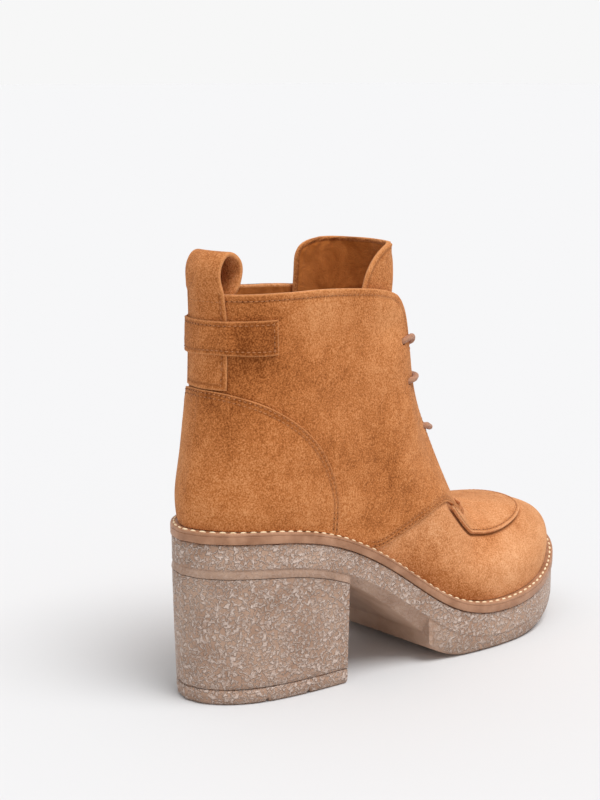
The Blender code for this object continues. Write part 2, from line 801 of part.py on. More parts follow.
def seam_round(rise):
    """Share round of the front edge of the lateral quarter at a share of the rib."""
    return SEAM_ROUND + SEAM_SWEEP * np.asarray(rise, float) ** SEAM_POWER


def even_shares(start, end, count):
    """Shares between two places on the welt, closer together where the foot line bends."""
    fine = np.linspace(start, end, SAMPLES // 4)
    plan, outward = outline(fine, ledge(outline(fine)[0][:, 0]))
    travel = np.linalg.norm(np.diff(plan, axis=0), axis=1)
    slope = np.gradient(seat(plan[:, 0])) / np.gradient(np.concatenate([[0.0], np.cumsum(travel)]))
    bend = np.linalg.norm(np.diff(outward, axis=0), axis=1) + np.abs(np.diff(slope)) * SEAT_TURN
    bend *= CURVE_WEIGHT
    pace = np.concatenate([[0.0], np.cumsum(travel + bend)])
    places = np.interp(np.linspace(0, pace[-1], count + 1), pace, fine)
    return (places - start) / (end - start)


def sector(start, end, columns):
    """Grid of places on the skin between two edges that depend on the rise."""
    low = float(start(np.zeros(1))[0])
    high = float(end(np.zeros(1))[0])
    shares = even_shares(low, high, columns)
    rise_grid, share_grid = np.meshgrid(np.array(ROWS), shares, indexing="ij")
    first = start(rise_grid)
    return first + (end(rise_grid) - first) * share_grid, rise_grid


def back_edge(side):
    """Edge of a quarter at the back of the heel."""
    def edge(rise):
        half = turn_for(GAP / 2, np.zeros(np.shape(rise)), rise)
        return half if side < 0 else 1 - half
    return edge


def zip_edge(side):
    """Edge of the medial quarter beside the zip, closing to a seam below it."""
    def edge(rise):
        opened = ease((rise - ROWS[ZIP_ROW - 1]) / (ROWS[ZIP_ROW] - ROWS[ZIP_ROW - 1]))
        half = GAP / 2 + (ZIP_GAP / 2 - GAP / 2) * opened
        return ZIP_ROUND + side * turn_for(half, np.full(np.shape(rise), ZIP_ROUND), rise)
    return edge


def front_edge(side):
    """Edge of a quarter along its seam with the vamp."""
    def edge(rise):
        return seam_round(rise) if side < 0 else 1 - seam_round(rise)
    return edge


def make_upper():
    """Vamp, ankle and lining as one hollow wall, open at the collar, throat and sole."""
    parts = [
        sector(back_edge(-1), front_edge(-1), QUARTER_COLUMNS),
        sector(front_edge(-1), front_edge(1), VAMP_COLUMNS),
        sector(front_edge(1), zip_edge(-1), ZIP_FRONT_COLUMNS),
        sector(zip_edge(1), back_edge(1), ZIP_BACK_COLUMNS),
    ]
    parts[0][0][:, 0] = 0.0
    round_grid = np.concatenate([
        parts[0][0][:, :-1],
        parts[1][0][:, :-1],
        parts[2][0][:, :-1],
        (parts[2][0][:, -1:] + parts[3][0][:, :1]) / 2,
        parts[3][0][:, 1:-1],
    ], axis=1)
    rise_grid = np.broadcast_to(np.array(ROWS)[:, None], round_grid.shape)
    outer = layer(round_grid, rise_grid, np.zeros(round_grid.shape))
    inner = layer(round_grid, rise_grid, np.full(round_grid.shape, -WALL))
    slab("upper", outer, inner, "suede", ring=True)


def make_quarters():
    """Lateral quarter, and medial quarter in two pieces with the zip between them."""
    low, high = GAP, GAP + LAYER
    pieces = (
        ("quarter_lateral", back_edge(-1), front_edge(-1), QUARTER_COLUMNS),
        ("quarter_medial_front", front_edge(1), zip_edge(-1), ZIP_FRONT_COLUMNS),
        ("quarter_medial_back", zip_edge(1), back_edge(1), ZIP_BACK_COLUMNS),
    )
    for name, start, end, columns in pieces:
        patch(name, *sector(start, end, columns), low, high, "suede")


def counter_rise(share):
    """Top edge of the heel counter; share runs from -1 to 1 round the heel."""
    return COUNTER_RISE * (1 - np.abs(share) ** COUNTER_POWER) ** COUNTER_FULLNESS


def make_counter():
    """Heel counter over both quarters."""
    levels = [row / COUNTER_RISE for row in ROWS if row < COUNTER_RISE - ROW_CLEAR] + [1.0]
    across = np.linspace(-COUNTER_END, COUNTER_END, COUNTER_COLUMNS)
    level, share = np.meshgrid(levels, across, indexing="ij")
    low = COUNTER_GAPS * GAP + LAYER
    patch("counter", share * COUNTER_ROUND, level * counter_rise(share), low, low + LAYER, "suede")


def make_back_strip():
    """Strip from the counter up to the collar, under the heel band."""
    start = COUNTER_RISE + OVER_GAPS * GAP / rib_length(0.0)
    levels = [start] + [row for row in ROWS if row > start + ROW_CLEAR]
    rise, share = np.meshgrid(levels, np.linspace(-1, 1, STRIP_COLUMNS), indexing="ij")
    turn = turn_for(STRIP_WIDTH / 2, np.zeros(rise.shape), rise) * share
    low = STRIP_GAPS * GAP + LAYER
    patch("back_strip", turn, rise, low, low + LAYER, "suede")


def make_heel_band():
    """Band across the back strip, raised where it passes over the strip."""
    half = STRIP_WIDTH / 2
    spread = [half / 3, half * 2 / 3, half + LAYER, half + 4 * LAYER]
    spread += list(np.linspace(half + 4 * LAYER, BAND_REACH, BAND_STEPS)[1:])
    spread = np.array([-d for d in spread[::-1]] + [0.0] + spread)
    level, distance = np.meshgrid(np.linspace(0, 1, BAND_ROWS), spread, indexing="ij")
    mean_rise = 1 - (BAND_DROP + BAND_WIDTH / 2) / rib_length(0.0)
    fine = np.linspace(0, 0.12, 121)
    steps = np.linalg.norm(np.diff(skin(fine, mean_rise), axis=0), axis=1)
    travel = np.concatenate([[0.0], np.cumsum(steps)])
    turn = np.sign(distance) * np.interp(np.abs(distance), travel, fine)
    rise = 1 - (BAND_DROP + BAND_WIDTH * (1 - level)) / rib_length(turn)
    over = np.abs(distance) < half + 2 * LAYER
    low = STRIP_GAPS * GAP + LAYER + (LAYER + OVER_GAPS * GAP) * over
    patch("heel_band", turn, rise, low, low + LAYER, "suede")


def make_apron():
    """Apron on the vamp, between the front edges of the quarters."""
    share = even_shares(SEAM_ROUND, 1 - SEAM_ROUND, VAMP_COLUMNS)
    share[0], share[-1] = APRON_CLEAR, 1 - APRON_CLEAR
    edge = spline([row[0] for row in APRON], [row[1] for row in APRON], share)[:, 0]
    front = min(row[1] for row in APRON)
    levels = [0.0] + [(row - front) / (1 - front) for row in ROWS if row > front]
    level, share_grid = np.meshgrid(levels, share, indexing="ij")
    rise = edge[None, :] + (1 - edge[None, :]) * level
    start = seam_round(rise)
    turn = start + (1 - 2 * start) * share_grid
    low = np.full(turn.shape, APRON_GAPS * GAP)
    low[:, [0, 1, -2, -1]] += GAP * np.array(APRON_END_GAPS)
    patch("apron", turn, rise, low, low + LAYER, "suede_light")


def tucked(round_share, rise):
    """Middle of the tongue where it lies against the inside of the upper."""
    depth = WALL + TONGUE_CLEAR + TONGUE_THICK / 2
    return layer(np.atleast_1d(round_share), np.atleast_1d(rise), np.array([-depth]))[0]


def tongue_rows():
    """Section points of the tongue from its foot under the vamp to its free top."""
    rows = []
    for _, *places in TONGUE_FOOT:
        lateral = [tucked(u, v) for u, v in places]
        medial = [tucked(1 - u, v) for u, v in places[2::-1]]
        rows.append([*lateral, *medial])
    knots = np.arange(len(TONGUE))
    table = glide(knots, [row[1:] for row in TONGUE], np.linspace(0, knots[-1], TONGUE_ROWS))
    for edge_round, edge_rise, wing_round, wing_rise, crown in table:
        middle_round = (edge_round + wing_round) / 2
        middle_rise = (edge_rise + wing_rise) / 2
        places = ((wing_round, wing_rise), (middle_round, middle_rise), (edge_round, edge_rise))
        lateral = [tucked(u, v) for u, v in places]
        medial = [tucked(1 - u, v) for u, v in places]
        span = medial[-1] - lateral[-1]
        centre = (medial[-1] + lateral[-1]) / 2
        slope = centre - np.array(rows[-1])[2:5:2].mean(axis=0)
        outward = np.cross(slope, span)
        outward /= np.linalg.norm(outward)
        outward *= np.sign(outward[0])
        centre = centre + outward * crown * np.linalg.norm(span)
        rows.append([*lateral, centre, *medial[::-1]])
    collar = np.array(rows[-1])
    middle = len(collar) // 2
    sides = np.arange(-middle, middle + 1)
    for share, lean, lateral_left, medial_left in TONGUE_TOP:
        left = np.where(sides < 0, lateral_left, medial_left)
        row = glide(np.arange(len(collar)), collar, middle + sides * left)
        row[:, 2] += (collar[middle, 2] - row[:, 2]) * share
        row += np.array([lean, 0.0, share]) * TONGUE_STAND
        rows.append(list(row))
    return np.array(rows)


def make_tongue():
    """Tongue, a curved sheet from under the vamp to above the collar."""
    rows = tongue_rows()
    sections = []
    for row in rows:
        steps = np.linalg.norm(np.diff(row, axis=0), axis=1)
        travel = np.concatenate([[0.0], np.cumsum(steps)])
        places = np.linspace(0, len(row) - 1, TONGUE_COLUMNS)
        columns = np.interp(places, np.arange(len(row)), travel)
        sections.append(glide(travel, row, columns))
    middle = np.array(sections)
    along = np.gradient(middle, axis=0)
    along[-len(TONGUE_TOP):] = UP
    side = np.gradient(middle, axis=1)
    normal = np.cross(side, along)
    normal /= np.linalg.norm(normal, axis=2, keepdims=True)
    half = normal * TONGUE_THICK / 2
    slab("tongue", middle + half, middle - half, "suede")


def make_pull_loop():
    """Loop of strap that leaves the back strip, turns over and goes down inside the collar."""
    out = STRIP_GAPS * GAP + LAYER + LAYER / 2
    inward = -WALL - 2 * GAP - LOOP_THICK / 2
    sides = np.linspace(-1, 1, LOOP_COLUMNS)
    turns = sides * turn_for(LOOP_WIDTH / 2, np.zeros(1), np.ones(1))
    top = np.ones(len(turns))
    edge = layer(turns, top, np.zeros(len(turns)))
    rows = [layer(turns, top, np.full(len(turns), out)) + UP * GAP]
    for _, forward, height, curve in LOOP:
        row = edge + np.array([forward, 0.0, height])
        row[:, 0] -= (1 - curve) * (edge[:, 0] - edge[LOOP_COLUMNS // 2, 0])
        rows.append(row)
    for drop in (LOOP_TUCK * 2 / 5, LOOP_TUCK):
        rows.append(layer(turns, 1 - drop / rib_length(turns), np.full(len(turns), inward)))
    rows = np.array(rows)
    steps = np.linalg.norm(np.diff(rows[:, LOOP_COLUMNS // 2], axis=0), axis=1)
    travel = np.concatenate([[0.0], np.cumsum(steps)])
    middle = spline(travel, rows.reshape(len(rows), -1), np.linspace(0, travel[-1], LOOP_ROWS))
    middle = middle.reshape(-1, len(turns), 3)
    normal = np.cross(np.gradient(middle, axis=1), np.gradient(middle, axis=0))
    normal /= np.linalg.norm(normal, axis=2, keepdims=True)
    half = normal * LOOP_THICK / 2
    slab("pull_loop", middle + half, middle - half, "suede")


def make_laces():
    """Lace bars across the throat, each from eyelet to eyelet over the tongue."""
    radius = LACE_DIAMETER / 2
    stand = COUNTER_GAPS * GAP + LAYER + radius
    for name, hole_round, hole_rise, edge_round in BARS:
        turns = np.linspace(hole_round, edge_round, LACE_ANCHORS)
        rises = np.linspace(hole_rise, 1.0, LACE_ANCHORS)
        lifts = stand + GAP * np.arange(LACE_ANCHORS)
        lateral = layer(turns, rises, lifts)
        medial = layer(1 - turns, rises, lifts)
        chord = medial[-1] - lateral[-1]
        outward = np.cross(chord, UP)
        outward /= np.linalg.norm(outward)
        outward = outward if outward[0] > 0 else -outward
        middle = (lateral[-1] + medial[-1]) / 2 + outward * radius * LACE_ARCH
        anchors = np.vstack([lateral, middle[None], medial[::-1]])
        steps = np.concatenate([[0.0], np.cumsum(np.linalg.norm(np.diff(anchors, axis=0), axis=1))])
        path = spline(steps, anchors, np.linspace(0, steps[-1], LACE_POINTS))
        tube(name, path, radius, LACE_SIDES, "cord")


# Zip


def zip_place(drop, offset):
    """Point on the zip's line at a distance below the collar, with its three directions."""
    rise = np.array([1 - drop / rib_length(ZIP_ROUND)])
    turn = np.array([ZIP_ROUND])
    point = layer(turn, rise, np.array([offset]))[0]
    outward = skin_normal(turn, rise)[0]
    upward = (skin(turn, rise + 0.01) - skin(turn, rise - 0.01))[0]
    upward -= outward * (upward @ outward)
    upward /= np.linalg.norm(upward)
    return point, np.cross(upward, outward), upward, outward


def make_zip():
    """Tape and chain of the zip between the medial quarters."""
    for name, width, low, thick, columns, finish_name in (
        ("zip_tape", ZIP_GAP - 2 * GAP, GAP, ZIP_TAPE_THICK, 2, "zip_fabric"),
        ("zip_chain", ZIP_CHAIN_WIDTH, 2 * GAP + ZIP_TAPE_THICK, ZIP_CHAIN_THICK, 2, "zip_fabric"),
    ):
        rise, share = np.meshgrid(
            np.array(ROWS[ZIP_ROW:]), np.linspace(-1, 1, columns + 1), indexing="ij"
        )
        turn = ZIP_ROUND + share * turn_for(width / 2, np.full(rise.shape, ZIP_ROUND), rise)
        patch(name, turn, rise, low, low + thick, finish_name)


def extruded(name, profile, holes, width, frame, material):
    """Flat outline with holes, extruded evenly to both sides of a plane and placed by a frame.

    The profile lies in the frame's first two directions and the width along its third.
    """
    origin, first, second, third = frame
    work = bmesh.new()
    loops = [profile, *holes]
    edges = []
    for loop in loops:
        corners = [work.verts.new((a, b, -width / 2)) for a, b in loop]
        edges += [work.edges.new((corners[k - 1], corners[k])) for k in range(len(corners))]
    bmesh.ops.triangle_fill(work, edges=edges, use_beauty=True)
    grown = bmesh.ops.extrude_face_region(work, geom=list(work.faces))
    moved = [g for g in grown["geom"] if isinstance(g, bmesh.types.BMVert)]
    bmesh.ops.translate(work, verts=moved, vec=(0, 0, width))
    bmesh.ops.recalc_face_normals(work, faces=work.faces)
    work.verts.ensure_lookup_table()
    points = [origin + first * v.co.x + second * v.co.y + third * v.co.z for v in work.verts]
    faces = [tuple(v.index for v in face.verts) for face in work.faces]
    work.free()
    return solid(name, points, faces, material, origin=origin, facets=True)


def rounded(half_a, half_b, radius, centre=(0.0, 0.0), steps=3):
    """Rectangle with round corners."""
    corners = []
    for sign_a, sign_b, start in ((1, 1, 0), (-1, 1, 90), (-1, -1, 180), (1, -1, 270)):
        for k in range(steps + 1):
            angle = math.radians(start + 90 * k / steps)
            corners.append((
                centre[0] + sign_a * (half_a - radius) + radius * math.cos(angle),
                centre[1] + sign_b * (half_b - radius) + radius * math.sin(angle),
            ))
    return corners


def make_slider():
    """Zip slider with a bridge, and its pull tab hanging from the bridge."""
    base = 3 * GAP + ZIP_TAPE_THICK + ZIP_CHAIN_THICK
    point, across, upward, outward = zip_place(SLIDER_DROP, base)
    middle = point + outward * SLIDER_THICK / 2
    plate = rounded(SLIDER_WIDTH / 2, SLIDER_LENGTH / 2, SLIDER_WIDTH * CORNER_SHARE)
    body = extruded("zip_slider", plate, [], SLIDER_THICK, (middle, across, upward, outward), "zip_metal")
    rise = EYE_HEIGHT + BRIDGE_BAR
    foot = SLIDER_THICK / 2
    half = EYE_LENGTH / 2 + BRIDGE_BAR
    frame = (point + outward * SLIDER_THICK, upward, outward, across)
    arch = [(-half, -foot), (half, -foot), (half, rise - BRIDGE_BAR), (half - BRIDGE_BAR, rise),
            (-half + BRIDGE_BAR, rise), (-half, rise - BRIDGE_BAR)]
    eye = [(-EYE_LENGTH / 2, 0.0), (EYE_LENGTH / 2, 0.0), (EYE_LENGTH / 2, EYE_HEIGHT),
           (-EYE_LENGTH / 2, EYE_HEIGHT)]
    bridge = extruded("zip_bridge", arch, [eye], BRIDGE_WIDTH, frame, "zip_metal")
    join(body, bridge)

    pivot = point + outward * (SLIDER_THICK + EYE_HEIGHT / 2) - upward * (EYE_LENGTH * PIVOT_SHARE)
    side = np.array([across[0], across[1], 0.0])
    side /= np.linalg.norm(side)
    face = np.cross(side, UP)
    face *= np.sign(face @ outward)
    down = PULL_LENGTH / 2 - PULL_THICK / 2
    corner = PULL_WIDTH * CORNER_SHARE
    outline_points = rounded(PULL_WIDTH / 2, PULL_LENGTH / 2, corner, (0.0, -down))
    window = PULL_WIDTH - 2 * PULL_SIDE
    hole_half = (EYE_HEIGHT + BRIDGE_BAR) * WINDOW_SHARE
    hole = rounded(window / 2, hole_half, GAP, (0.0, -PULL_THICK / 2 - hole_half), steps=1)
    extruded("zip_pull", outline_points, [hole], PULL_THICK, (pivot, side, UP, face), "zip_metal")


def join(keeper, extra):
    """Boolean union of two solids into the first."""
    union = keeper.modifiers.new("join", "BOOLEAN")
    union.operation = "UNION"
    union.solver = "EXACT"
    union.object = extra
    bpy.context.view_layer.update()
    graph = bpy.context.evaluated_depsgraph_get()
    merged = bpy.data.meshes.new_from_object(keeper.evaluated_get(graph))
    keeper.modifiers.remove(union)
    keeper.data = merged
    bpy.data.objects.remove(extra)


def main():
    for item in list(bpy.data.objects):
        bpy.data.objects.remove(item)
    make_sole()
    make_heel()
    make_upper()
    make_quarters()
    make_counter()
    make_back_strip()
    make_heel_band()
    make_apron()
    make_tongue()
    make_pull_loop()
    make_laces()
    make_zip()
    make_slider()


main()
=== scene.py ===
# %% [markdown]
# # Lace up ankle boot with a block heel
#
# The boot is suede on a moulded crepe sole. The CAD frame already has every piece at its real
# size, so this script rebuilds the soft pieces finely on the same form, and adds what only the
# eye needs: seams, stitches, lace holes, nap, crepe relief and light.

import math

import bmesh
import bpy
import numpy as np
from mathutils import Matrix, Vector


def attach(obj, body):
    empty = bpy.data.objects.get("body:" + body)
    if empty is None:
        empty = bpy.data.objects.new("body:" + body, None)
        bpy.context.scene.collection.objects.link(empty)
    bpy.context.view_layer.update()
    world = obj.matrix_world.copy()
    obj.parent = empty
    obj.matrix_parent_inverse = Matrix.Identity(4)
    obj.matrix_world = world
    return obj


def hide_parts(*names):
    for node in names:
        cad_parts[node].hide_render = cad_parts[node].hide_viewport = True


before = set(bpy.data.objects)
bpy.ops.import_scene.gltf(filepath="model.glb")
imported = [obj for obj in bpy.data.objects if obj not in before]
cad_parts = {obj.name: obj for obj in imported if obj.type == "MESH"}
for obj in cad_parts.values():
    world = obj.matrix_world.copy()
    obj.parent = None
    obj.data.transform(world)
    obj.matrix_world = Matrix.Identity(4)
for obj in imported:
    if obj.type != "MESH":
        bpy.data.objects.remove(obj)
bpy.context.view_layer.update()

# %% [markdown]
# ## The form of the last
#
# A boot is lasted: the leather is pulled over a foot shaped block, and every seam lies on that
# one surface. So the form is written once, as a function of two shares: how far round the welt
# from the heel's back, and how far up the rib from the welt to the top line. Hand sculpting
# would give softer accidents, but no two pieces would lie on each other as well as this.

# %% Sizes
LENGTH = 0.2445
BALL_WIDTH = 0.0930
HEEL_HEIGHT = 0.0815
PLATFORM = 0.0235
TOE_SPRING = 0.0135
SHAFT = 0.1050
RIB_REACH = 0.0400
WALL = 0.0016
LAYER = 0.0010
GAP = 0.0003
HEEL_LEDGE = 0.0048
BACK_LEDGE = 0.0018
BACK_LEDGE_END = 0.0300
TOE_LEDGE = 0.0038
MM = 0.001

OUTLINE = (
    (-0.009, 0.000), (0.034, -0.215), (0.150, -0.345), (0.290, -0.385), (0.430, -0.420),
    (0.550, -0.470), (0.665, -0.500), (0.790, -0.460), (0.915, -0.300), (0.985, -0.100),
    (1.000, 0.060), (0.950, 0.300), (0.840, 0.450), (0.715, 0.500), (0.570, 0.430),
    (0.430, 0.350), (0.290, 0.330), (0.150, 0.320), (0.034, 0.205),
)
SEAT = (
    (0.00, 1.000, 0.00), (0.10, 0.985, 0.00), (0.18, 0.945, 0.00), (0.26, 0.855, 0.00),
    (0.34, 0.700, 0.00), (0.42, 0.485, 0.00), (0.49, 0.270, 0.00), (0.56, 0.100, 0.00),
    (0.63, 0.020, 0.00), (0.71, 0.000, 0.02), (0.80, 0.000, 0.14), (0.90, 0.000, 0.50),
    (1.00, 0.000, 1.10),
)
TOPLINE = (
    (0.000, 0.055, 0.000, 1.000), (0.045, 0.074, -0.160, 1.002), (0.085, 0.125, -0.258, 1.004),
    (0.125, 0.215, -0.300, 1.005), (0.165, 0.342, -0.290, 0.988), (0.196, 0.445, -0.245, 0.940),
    (0.212, 0.484, -0.210, 0.835), (0.228, 0.501, -0.188, 0.652), (0.245, 0.524, -0.170, 0.469),
    (0.265, 0.568, -0.156, 0.255), (0.297, 0.668, -0.140, -0.140), (0.320, 0.692, -0.112, -0.167),
    (0.370, 0.706, -0.070, -0.167), (0.497, 0.714, 0.010, -0.160), (0.630, 0.706, 0.085, -0.167),
    (0.680, 0.692, 0.127, -0.167), (0.703, 0.668, 0.155, -0.140), (0.735, 0.568, 0.175, 0.255),
    (0.755, 0.524, 0.190, 0.469), (0.772, 0.501, 0.208, 0.652), (0.788, 0.484, 0.232, 0.825),
    (0.804, 0.440, 0.270, 0.925), (0.835, 0.340, 0.305, 0.962), (0.875, 0.215, 0.312, 0.978),
    (0.915, 0.125, 0.262, 0.990), (0.955, 0.074, 0.160, 0.998),
)
RIBS = (
    (0.000, 0.50, 0.12, -0.08, 1.60), (0.080, 0.50, 0.12, -0.05, 1.50),
    (0.150, 0.70, 0.06, 0.00, 1.20), (0.200, 0.80, 0.05, 0.10, 0.80),
    (0.250, 0.70, 0.08, 0.30, 0.60), (0.300, 0.60, 0.10, 0.40, 0.30),
    (0.400, 0.52, 0.12, 0.62, 0.10), (0.497, 0.55, 0.08, 1.05, 0.12),
    (0.600, 0.52, 0.12, 0.62, 0.10), (0.700, 0.60, 0.10, 0.40, 0.30),
    (0.750, 0.70, 0.05, 0.35, 0.60), (0.800, 0.80, 0.02, 0.10, 0.80),
    (0.850, 0.70, 0.04, 0.00, 1.20), (0.920, 0.50, 0.12, -0.05, 1.50),
)
UP = np.array([0.0, 0.0, 1.0])
print("tables:", len(OUTLINE), "outline points,", len(TOPLINE), "top line points")


# %% Curves through tables
def spline(knots, rows, places, period=0.0):
    """Smooth curve through the rows of a table; with a period it closes on itself."""
    knots = np.asarray(knots, float)
    rows = np.asarray(rows, float).reshape(len(knots), -1)
    places = np.asarray(places, float)
    if period:
        knots = np.append(knots, knots[0] + period)
        rows = np.vstack([rows, rows[:1]])
        places = knots[0] + np.mod(places - knots[0], period)
    count = len(knots)
    step = np.diff(knots)
    slope = np.diff(rows, axis=0) / step[:, None]
    system = np.eye(count)
    load = np.zeros(rows.shape)
    for k in range(1, count - 1):
        system[k, k - 1:k + 2] = step[k - 1], 2 * (step[k - 1] + step[k]), step[k]
        load[k] = 6 * (slope[k] - slope[k - 1])
    if period:
        system[0, -1] = -1
        system[-1, :] = 0
        system[-1, 0] = 2 * (step[-1] + step[0])
        system[-1, 1] = step[0]
        system[-1, -2] = step[-1]
        load[-1] = 6 * (slope[0] - slope[-1])
    bend = np.linalg.solve(system, load)
    span = np.clip(np.searchsorted(knots, places, side="right") - 1, 0, count - 2)
    ahead = (places - knots[span])[..., None]
    behind = (knots[span + 1] - places)[..., None]
    width = step[span][..., None]
    return (
        bend[span] * behind ** 3 / (6 * width)
        + bend[span + 1] * ahead ** 3 / (6 * width)
        + (rows[span] / width - bend[span] * width / 6) * behind
        + (rows[span + 1] / width - bend[span + 1] * width / 6) * ahead
    )


def glide(knots, rows, places, period=0.0):
    """Curve through the rows of a table that never swings past a row."""
    knots = np.asarray(knots, float)
    rows = np.asarray(rows, float)
    places = np.asarray(places, float)
    if period:
        places = np.mod(places, period)
        knots = np.concatenate([[knots[-1] - period], knots, knots[:2] + period])
        rows = np.vstack([rows[-1:], rows, rows[:2]])
    step = np.diff(knots)[:, None]
    slope = np.diff(rows, axis=0) / step
    one = 2 * step[1:] + step[:-1]
    two = step[1:] + 2 * step[:-1]
    same = slope[:-1] * slope[1:] > 0
    top = np.where(same, (one + two) * slope[:-1] * slope[1:], 0.0)
    low = np.where(same, one * slope[1:] + two * slope[:-1], 1.0)
    tilt = np.vstack([slope[:1], top / low, slope[-1:]])
    span = np.clip(np.searchsorted(knots, places, side="right") - 1, 0, len(knots) - 2)
    width = step[span]
    part = (places - knots[span])[:, None] / width
    return (
        rows[span] * (1 + 2 * part) * (1 - part) ** 2
        + rows[span + 1] * part * part * (3 - 2 * part)
        + tilt[span] * width * part * (1 - part) ** 2
        - tilt[span + 1] * width * part * part * (1 - part)
    )


def through(curve, table, places, period=0.0):
    """Spline or glide through a table whose first column holds the places of its rows."""
    table = np.array(table)
    return curve(table[:, 0], table[:, 1:], places, period)


def ease(value):
    """Smooth step from 0 to 1."""
    value = np.clip(value, 0.0, 1.0)
    return value * value * (3 - 2 * value)


def bell(value, width, centre=0.0):
    """Smooth bump that is 1 at its centre and fades over the width."""
    return np.exp(-((value - centre) / width) ** 2)


def travelled(points):
    """Distance run along a path at each of its points."""
    steps = np.linalg.norm(np.diff(points, axis=0), axis=1)
    return np.concatenate([[0.0], np.cumsum(steps)])


def unit(vectors):
    """The same directions with a length of 1."""
    return vectors / np.linalg.norm(vectors, axis=-1, keepdims=True)


print("seat at half length:", round(float(through(spline, SEAT, [0.5])[0, 0]), 3), "of the heel")

# %% Welt outline, seat line and ribs
SAMPLES = 1200
OUTLINE_POINTS = np.array(OUTLINE) * [LENGTH, BALL_WIDTH]
CHORDS = np.linalg.norm(np.roll(OUTLINE_POINTS, -1, axis=0) - OUTLINE_POINTS, axis=1)
OUTLINE_KNOTS = np.concatenate([[0.0], np.cumsum(CHORDS)[:-1]])
OUTLINE_PERIOD = CHORDS.sum()
DENSE_PLACES = np.linspace(0, OUTLINE_PERIOD, SAMPLES + 1)
DENSE_POINTS = spline(OUTLINE_KNOTS, OUTLINE_POINTS, DENSE_PLACES, OUTLINE_PERIOD)
DENSE_STEPS = np.linalg.norm(np.diff(DENSE_POINTS, axis=0), axis=1)
DENSE_ROUND = np.concatenate([[0.0], np.cumsum(DENSE_STEPS)]) / DENSE_STEPS.sum()
TIP_INDEX = int(np.argmax(DENSE_POINTS[:, 0]))
CENTRE = (DENSE_POINTS.max(axis=0) + DENSE_POINTS.min(axis=0)) / 2
SHIFT = np.array([CENTRE[0], CENTRE[1], 0.0])


def outline(turn, inset=0.0):
    """Point of the welt outline moved inward by inset, and its outward direction."""
    place = np.interp(np.mod(turn, 1.0), DENSE_ROUND, DENSE_PLACES)
    reach = OUTLINE_PERIOD / SAMPLES / 4
    point = spline(OUTLINE_KNOTS, OUTLINE_POINTS, place, OUTLINE_PERIOD)
    ahead = spline(OUTLINE_KNOTS, OUTLINE_POINTS, place + reach, OUTLINE_PERIOD)
    behind = spline(OUTLINE_KNOTS, OUTLINE_POINTS, place - reach, OUTLINE_PERIOD)
    run = unit(ahead - behind)
    outward = np.stack([run[..., 1], -run[..., 0]], -1)
    return point - outward * np.asarray(inset, float)[..., None], outward


def turn_at(along, side):
    """Share round the outline at a distance along the length; side -1 lateral, 1 medial."""
    if side < 0:
        half = slice(0, TIP_INDEX + 1)
        return np.interp(along, DENSE_POINTS[half, 0], DENSE_ROUND[half])
    half = slice(TIP_INDEX, None)
    return np.interp(along, DENSE_POINTS[half, 0][::-1], DENSE_ROUND[half][::-1])


def seat(along):
    """Height of the welt's top over the floor."""
    share = np.clip(np.asarray(along, float) / LENGTH, 0, 1)
    value = through(spline, SEAT, share)
    return PLATFORM + (HEEL_HEIGHT - PLATFORM) * value[..., 0] + TOE_SPRING * value[..., 1]


def ledge(along):
    """Width of the welt that shows outside the upper."""
    back = np.clip(1 - along / BACK_LEDGE_END, 0, 1) ** 2
    share = np.clip(along / LENGTH, 0, 1)
    return HEEL_LEDGE + (TOE_LEDGE - HEEL_LEDGE) * share + BACK_LEDGE * back


def rib(turn, part):
    """Points of the ribs at the given shares round; part runs from welt to top line."""
    bare, _ = outline(turn)
    plan, outward = outline(turn, ledge(bare[:, 0]))
    foot = np.column_stack([plan, seat(plan[:, 0]) + GAP])
    line = through(glide, TOPLINE, turn, 1.0)
    top = line * [LENGTH, BALL_WIDTH, SHAFT] + [0, 0, HEEL_HEIGHT]
    reach = through(spline, RIBS, turn, 1.0) * RIB_REACH
    out = np.column_stack([outward, np.zeros(len(outward))])
    low = foot + UP * reach[:, 0:1] + out * reach[:, 1:2]
    high = top + out * reach[:, 2:3] - UP * reach[:, 3:4]
    part = np.asarray(part)[None, :, None]
    return (
        (1 - part) ** 3 * foot[:, None]
        + 3 * (1 - part) ** 2 * part * low[:, None]
        + 3 * (1 - part) * part ** 2 * high[:, None]
        + part ** 3 * top[:, None]
    )


print("welt outline", round(OUTLINE_PERIOD * 1000, 1), "mm round")

# %% [markdown]
# ## One survey of the skin
#
# Seams, creases and thousands of stitches all ask where the skin is.

# %% Survey
TURNS = 1800
RISES = 180
RIB_POINTS = 81
FOOT_SHARE = 0.10  # part of the rib over which the directions turn level towards the welt


def survey():
    """Points, directions and rib lengths of the skin on a fine grid."""
    turn = np.arange(TURNS) / TURNS
    ribs = rib(turn, np.linspace(0, 1, RIB_POINTS))
    steps = np.linalg.norm(np.diff(ribs, axis=1), axis=2)
    travel = np.column_stack([np.zeros(TURNS), np.cumsum(steps, axis=1)])
    shares = np.linspace(0, 1, RISES + 1)
    grid = np.empty((TURNS, RISES + 1, 3))
    for k in range(TURNS):
        for axis in range(3):
            grid[k, :, axis] = np.interp(shares * travel[k, -1], travel[k], ribs[k, :, axis])
    across = np.roll(grid, -1, axis=0) - np.roll(grid, 1, axis=0)
    upward = np.gradient(grid, axis=1)
    normal = unit(np.cross(across, upward))
    normal[..., 2] *= ease(shares / FOOT_SHARE)[None]
    return grid, unit(normal), travel[:, -1]


SKIN, NORMAL, RIB_LENGTH = survey()


